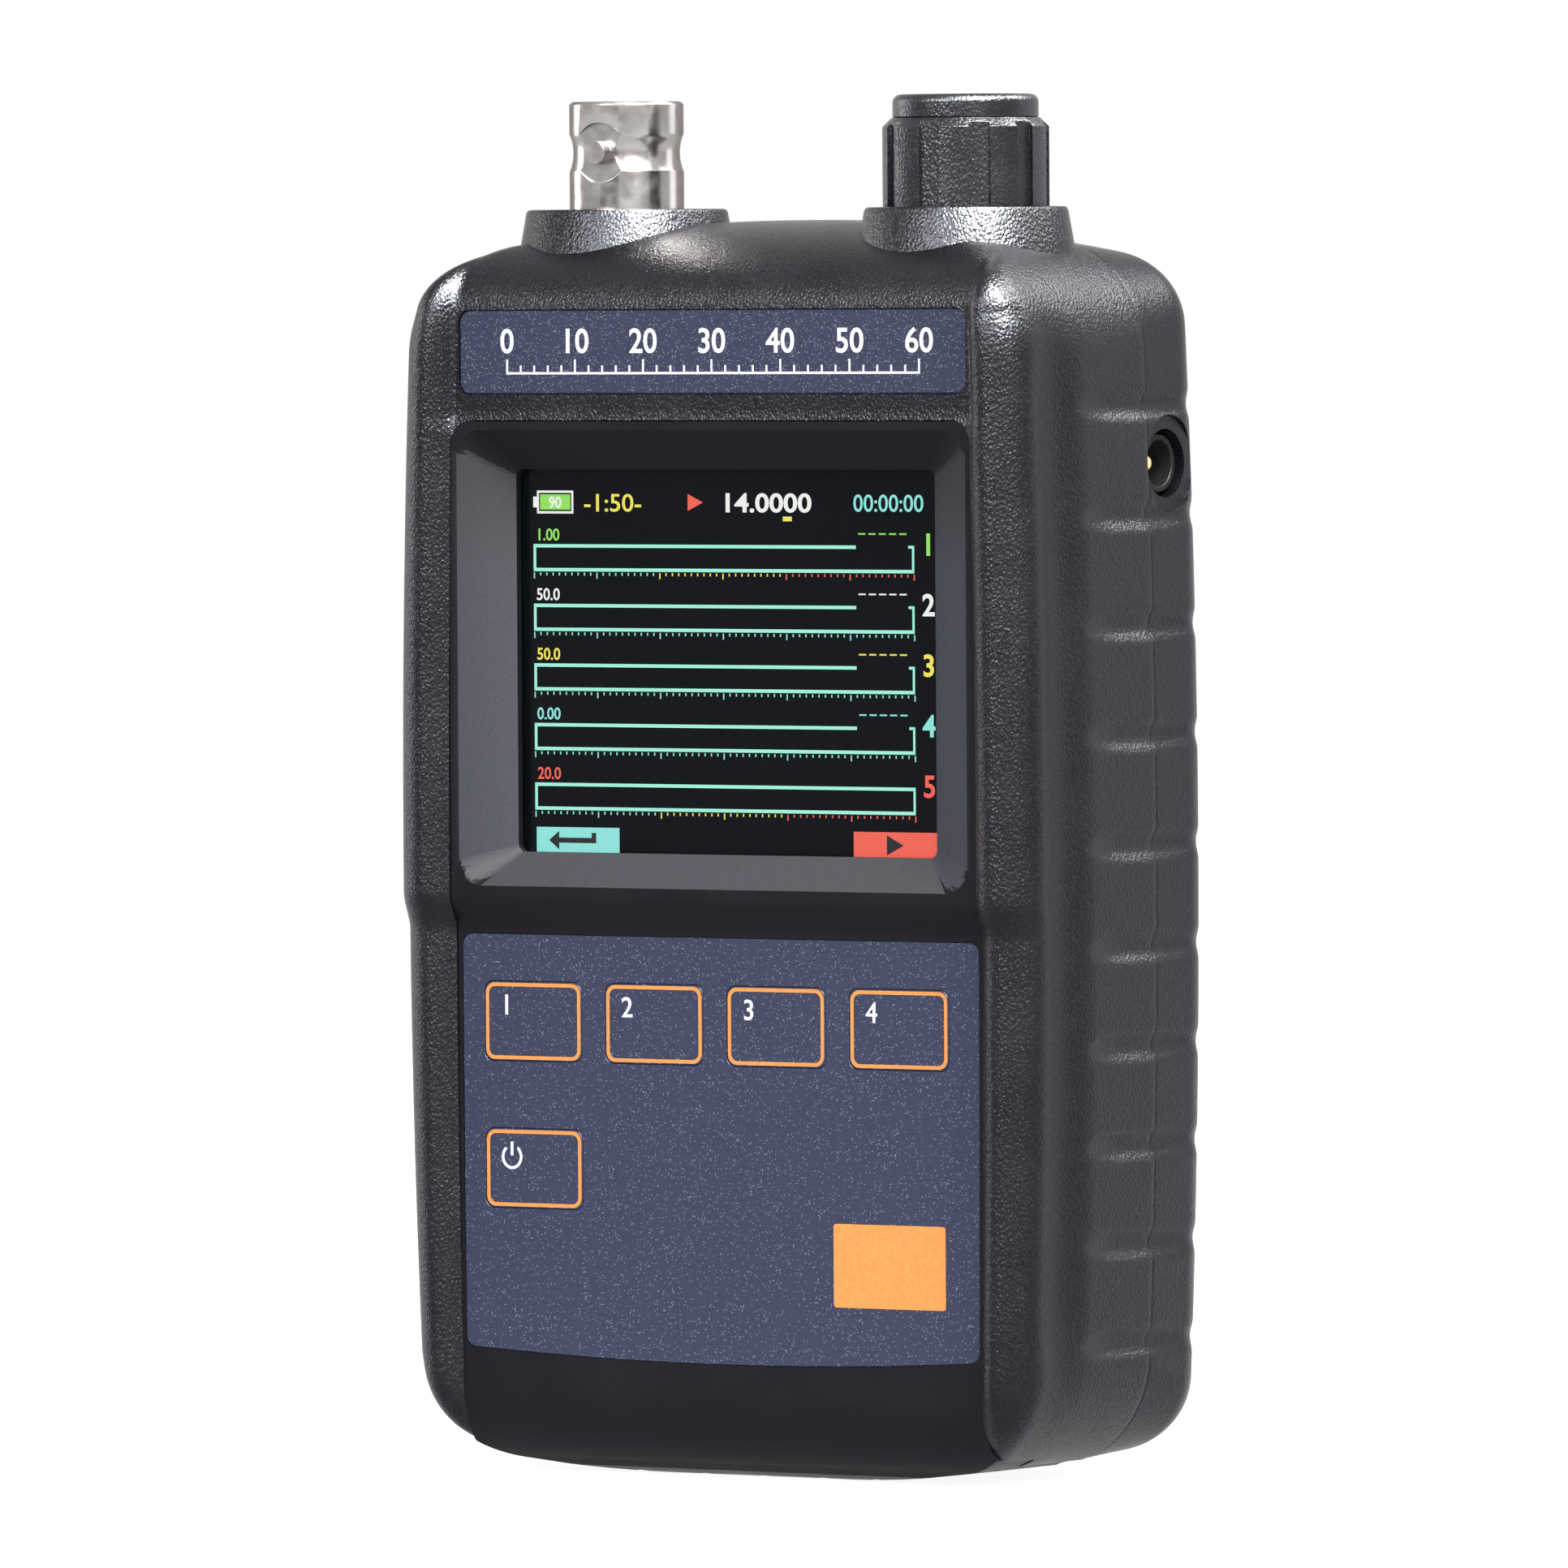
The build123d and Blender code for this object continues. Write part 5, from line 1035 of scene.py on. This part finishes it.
def refinish(node, material):
    """A CAD node that keeps its own mesh gets a new finish."""
    mesh = frame["nodes"][node].data
    mesh.materials.clear()
    mesh.materials.append(material)


refinish("display_glass", display_pane.material)

dot = 0.1275  # 320 by 240 dots
lit_left = -20.1
lit_top = 82.42
picture_y = 1000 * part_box("display_glass")[0].y - 0.03


def lit(name, red, green, blue):
    """A colour of the display, as light, a little dimmer between the rows of dots."""
    glow = Recipe(name)
    colour = screen_colour(red, green, blue)
    stripes = glow.node("ShaderNodeTexWave", {"Vector": glow.place(), "Scale": 2 * pi / dot / 20},
                        bands_direction="Z")["Fac"]
    rows = glow.tones(stripes, tuple(0.78 * c for c in colour), colour, ends=(0.0, 0.6))
    return glow.finish(Base_Color=(0.004, 0.004, 0.004), Roughness=0.3, Emission_Color=rows,
                       Emission_Strength=1.0)


def at_dot(x, y):
    """X and Z of a place counted in dots from the upper left corner."""
    return lit_left + x * dot, lit_top - y * dot


def dots(x0, y0, x1, y1):
    """A rectangle from one place in dots to another."""
    return bar(lit_left + x0 * dot, lit_top - y1 * dot, lit_left + x1 * dot, lit_top - y0 * dot)


def shown(light, raised=0.0):
    """How a layer of the picture lies, raised a little where it stands over another."""
    return {"face_y": picture_y - raised, "thickness": 0.02, "material": light, "body": "case",
            "slot": "display"}


def show(name, shapes, light):
    flat_shapes(name, shapes, **shown(light))


def show_number(name, text, x, y_foot, height, light, raised=0.0, bold=0.01, **style):
    number(name, text, *at_dot(x, y_foot), height * dot, **shown(light, raised), bold=bold, **style)


cyan = lit("lit_cyan", 128, 222, 214)
pale = lit("lit_pale", 150, 238, 214)
green = lit("lit_green", 130, 220, 60)
white = lit("lit_white", 235, 238, 235)
yellow = lit("lit_yellow", 236, 222, 60)
red = lit("lit_red", 236, 70, 40)
row_lights = (green, white, yellow, cyan, red)
row_feet = [55 + 39 * row for row in range(5)]
row_rise = 16
row_right = 301.5
frames = []
for row, foot in enumerate(row_feet):
    top = foot - row_rise
    last = row == 4
    frames += [dots(1, foot - 0.4, row_right, foot + 1.8),
               dots(1, top, row_right if last else 256, top + 2.2),
               dots(1, top, 3.0, foot + 1.4), dots(299.9, top, row_right, foot + 1.4)]
    if not last:
        frames.append(dots(297, top, row_right, top + 1.8))
    for third, light in enumerate((cyan, cyan, cyan) if row in (1, 2, 3) else (cyan, yellow, red)):
        tick_row(f"picture_ticks_{row}_{third}", *at_dot(1.5 + 100 * third, foot + 6.5),
                 count=21 if third == 2 else 20, pitch=5 * dot, width=0.9 * dot, short=1.9 * dot,
                 tall=3.9 * dot, every=10, hangs=True, **shown(light))
show("picture_frames", frames, pale)
for foot, light in list(zip(row_feet, row_lights))[:4]:
    y = foot - row_rise - 8
    dashes = [dots(258 + 8 * i, y, 263.5 + 8 * i, y + 1) for i in range(5)]
    show(f"picture_dashes_{light.name[4:]}", dashes, light)
for row, (foot, light) in enumerate(zip(row_feet, row_lights)):
    amount = ("1.00", "50.0", "50.0", "0.00", "20.0")[row]
    show_number(f"picture_row_number_{row}", amount, 3, foot - 18.5, 8, light, bold=0.02)
    show_number(f"picture_side_number_{row}", str(row + 1), 307.5, foot - 10, 14.5, light, bold=0.03)

battery_rim = [dots(4, 4, 33, 5.5), dots(4, 17.5, 33, 19), dots(4, 4, 5.5, 19), dots(31.5, 4, 33, 19)]
battery_tip = dots(1, 8, 4, 15)
show("picture_battery", [*battery_rim, battery_tip], white)
show("picture_charge", [dots(6.5, 6.5, 30.5, 16.5)], green)
show_number("picture_charge_number", "90", 18.5, 15.2, 7.5, white, raised=0.015, align="CENTER", bold=0.03)
show_number("picture_mode", "-1:50-", 41, 17.5, 12, yellow, widened=1.2)
show("picture_pointer", [[at_dot(124, 17), at_dot(124, 6), at_dot(136, 11.5)]], red)
show_number("picture_reading", "14.0000", 150, 17.5, 12.5, white, bold=0.03, widened=1.3)
show_number("picture_clock", "00:00:00", 254, 17, 11.5, cyan, widened=1.02)
show("picture_cursor", [dots(199, 20.5, 206, 23.5)], yellow)
show("picture_soft_key_left", [dots(2, 224, 68, 241)], cyan)
show("picture_soft_key_right", [dots(253, 224, 319.5, 241)], red)
unlit = close_tones("unlit_dots", 0.3, (0.006, 0.006, 0.008), (0.012, 0.012, 0.014), Roughness=0.4,
                    Specular_IOR_Level=0.1)
arrow = [(12, 232.5), (20, 226.5), (20, 230.8), (46, 230.8), (46, 227.5), (49.5, 227.5), (49.5, 234.2),
         (20, 234.2), (20, 238.5)]
triangle = [(279, 226), (279, 239), (292, 232.5)]
flat_shapes("picture_key_signs", [[at_dot(x, y) for x, y in sign] for sign in (arrow, triangle)],
            face_y=picture_y - 0.02, thickness=0.03, material=unlit, body="case", slot="display")

# ---------------------------------------------------------------- radio socket
# A bayonet barrel turned from brass and plated with nickel, its white insulator and a hollow
# centre contact. The barrel stands in the left boss.
nickel = Recipe("nickel_plate")
lathe_marks = nickel.noise(nickel.place(stretch=(0.6, 0.6, 9)), 0.5, detail=3)
nickel.finish(Base_Color=nickel.mottled(2.2, (0.265, 0.25, 0.24), (0.32, 0.30, 0.29), detail=3),
              Metallic=1.0, Specular_Tint=(0.52, 0.50, 0.49),
              Roughness=nickel.patchy(1.1, 0.15, 0.22, detail=3),
              Normal=nickel.relief(lathe_marks, 0.004, 0.6))
dressed_copy("socket_barrel", nickel.material, softness=0.08)

insulator_white = close_tones("insulator_white", 0.8, (0.66, 0.65, 0.62), (0.74, 0.73, 0.70),
                              Roughness=0.5)
dressed_copy("socket_insulator", insulator_white, softness=0.08)

gilded = close_tones("gilded_brass", 0.6, (0.72, 0.50, 0.20), (0.82, 0.60, 0.28), Metallic=1.0,
                     Roughness=0.26)
dressed_copy("socket_contact", gilded, softness=0.05)

# ---------------------------------------------------------------- tuning knob
# A moulded black knob with ten flutes and a grained grip, and a rounded cap pressed into its
# top. A steel spring clip inside grips the flat of the shaft.
knob_black = (0.0090, 0.0090, 0.0125)
knob_grain = black_grain("knob_grain", 0.25, 0.055, knob_black, shine=0.2)
cap_grain = black_grain("cap_grain", 0.23, 0.045, knob_black, shine=0.2)
dressed_copy("knob", knob_grain, softness=0.1)
dressed_copy("knob_cap", cap_grain, softness=0.12)

# ---------------------------------------------------------------- charging socket
# A round black power socket with a gilded centre pin. It is soldered to the main board, and its
# mouth stands in a recess of the right side.
jack_black = Recipe("jack_black")
jack_black.finish(Base_Color=jack_black.mottled(0.8, (0.010, 0.010, 0.011), (0.016, 0.016, 0.018)),
                  Roughness=0.5, Specular_IOR_Level=0.04,
                  Normal=jack_black.relief(jack_black.noise(jack_black.place(), 0.15), 0.006, 0.5))
dressed_copy("jack_housing", jack_black.material, softness=0.08)
dressed_copy("jack_pin", gilded, softness=0.05)

# ---------------------------------------------------------------- pieces inside
# Boards, screws, shield, encoder, switches and battery, which the case hides. Each keeps its
# moulded, plated or printed finish.


def speckled(name, dark, light, grain, roughness, metallic=0.0, relief=0.01):
    """A plain finish with a little variation of tone, grain millimetres across."""
    made = Recipe(name)
    blotches = made.noise(made.place(), grain, detail=3)
    return made.finish(Base_Color=made.tones(blotches, dark, light), Metallic=metallic,
                       Roughness=made.span(blotches, 0.3, 0.7, roughness, roughness + 0.1),
                       Normal=made.relief(blotches, relief, 0.6))


inside_finishes = {
    speckled("board_mask", (0.010, 0.055, 0.022), (0.014, 0.075, 0.030), 0.8, 0.35):
        ("front_board", "main_board", "battery_board"),
    speckled("zinc_plate", (0.50, 0.50, 0.51), (0.62, 0.62, 0.63), 0.5, 0.3, 1.0):
        ("case_screws", "main_board_screws", "front_board_screws", "encoder_bushing", "encoder_washer",
         "encoder_nut", "encoder_shaft", "push_plunger", "jack_tabs", "knob_clip", "shield_can"),
    speckled("black_nylon", (0.014, 0.014, 0.015), (0.022, 0.022, 0.024), 0.6, 0.45):
        ("switch_bodies", "encoder_body", "board_chips", "display_backlight"),
    speckled("socket_casting", (0.36, 0.36, 0.37), (0.46, 0.46, 0.47), 0.5, 0.4, 1.0):
        ("socket_block",),
    speckled("ivory_nylon", (0.62, 0.58, 0.48), (0.70, 0.66, 0.56), 0.7, 0.45):
        ("display_socket", "ribbon_sockets", "battery_plug", "battery_socket", "plunger_f1", "plunger_f2",
         "plunger_f3", "plunger_f4", "plunger_power"),
    speckled("grey_foam", (0.03, 0.03, 0.03), (0.06, 0.06, 0.06), 0.3, 0.85, relief=0.05):
        ("display_gasket", "display_tape", "battery_tape"),
    speckled("amber_film", (0.35, 0.16, 0.03), (0.45, 0.22, 0.05), 1.2, 0.3):
        ("display_flex", "board_ribbon"),
    speckled("cell_pouch", (0.46, 0.47, 0.49), (0.56, 0.57, 0.59), 1.5, 0.35, 0.9, 0.03):
        ("battery_cells",),
    speckled("lead_sleeve", (0.30, 0.012, 0.010), (0.38, 0.018, 0.014), 0.8, 0.45):
        ("battery_leads",),
}
for finish, nodes in inside_finishes.items():
    for node in nodes:
        refinish(node, finish)
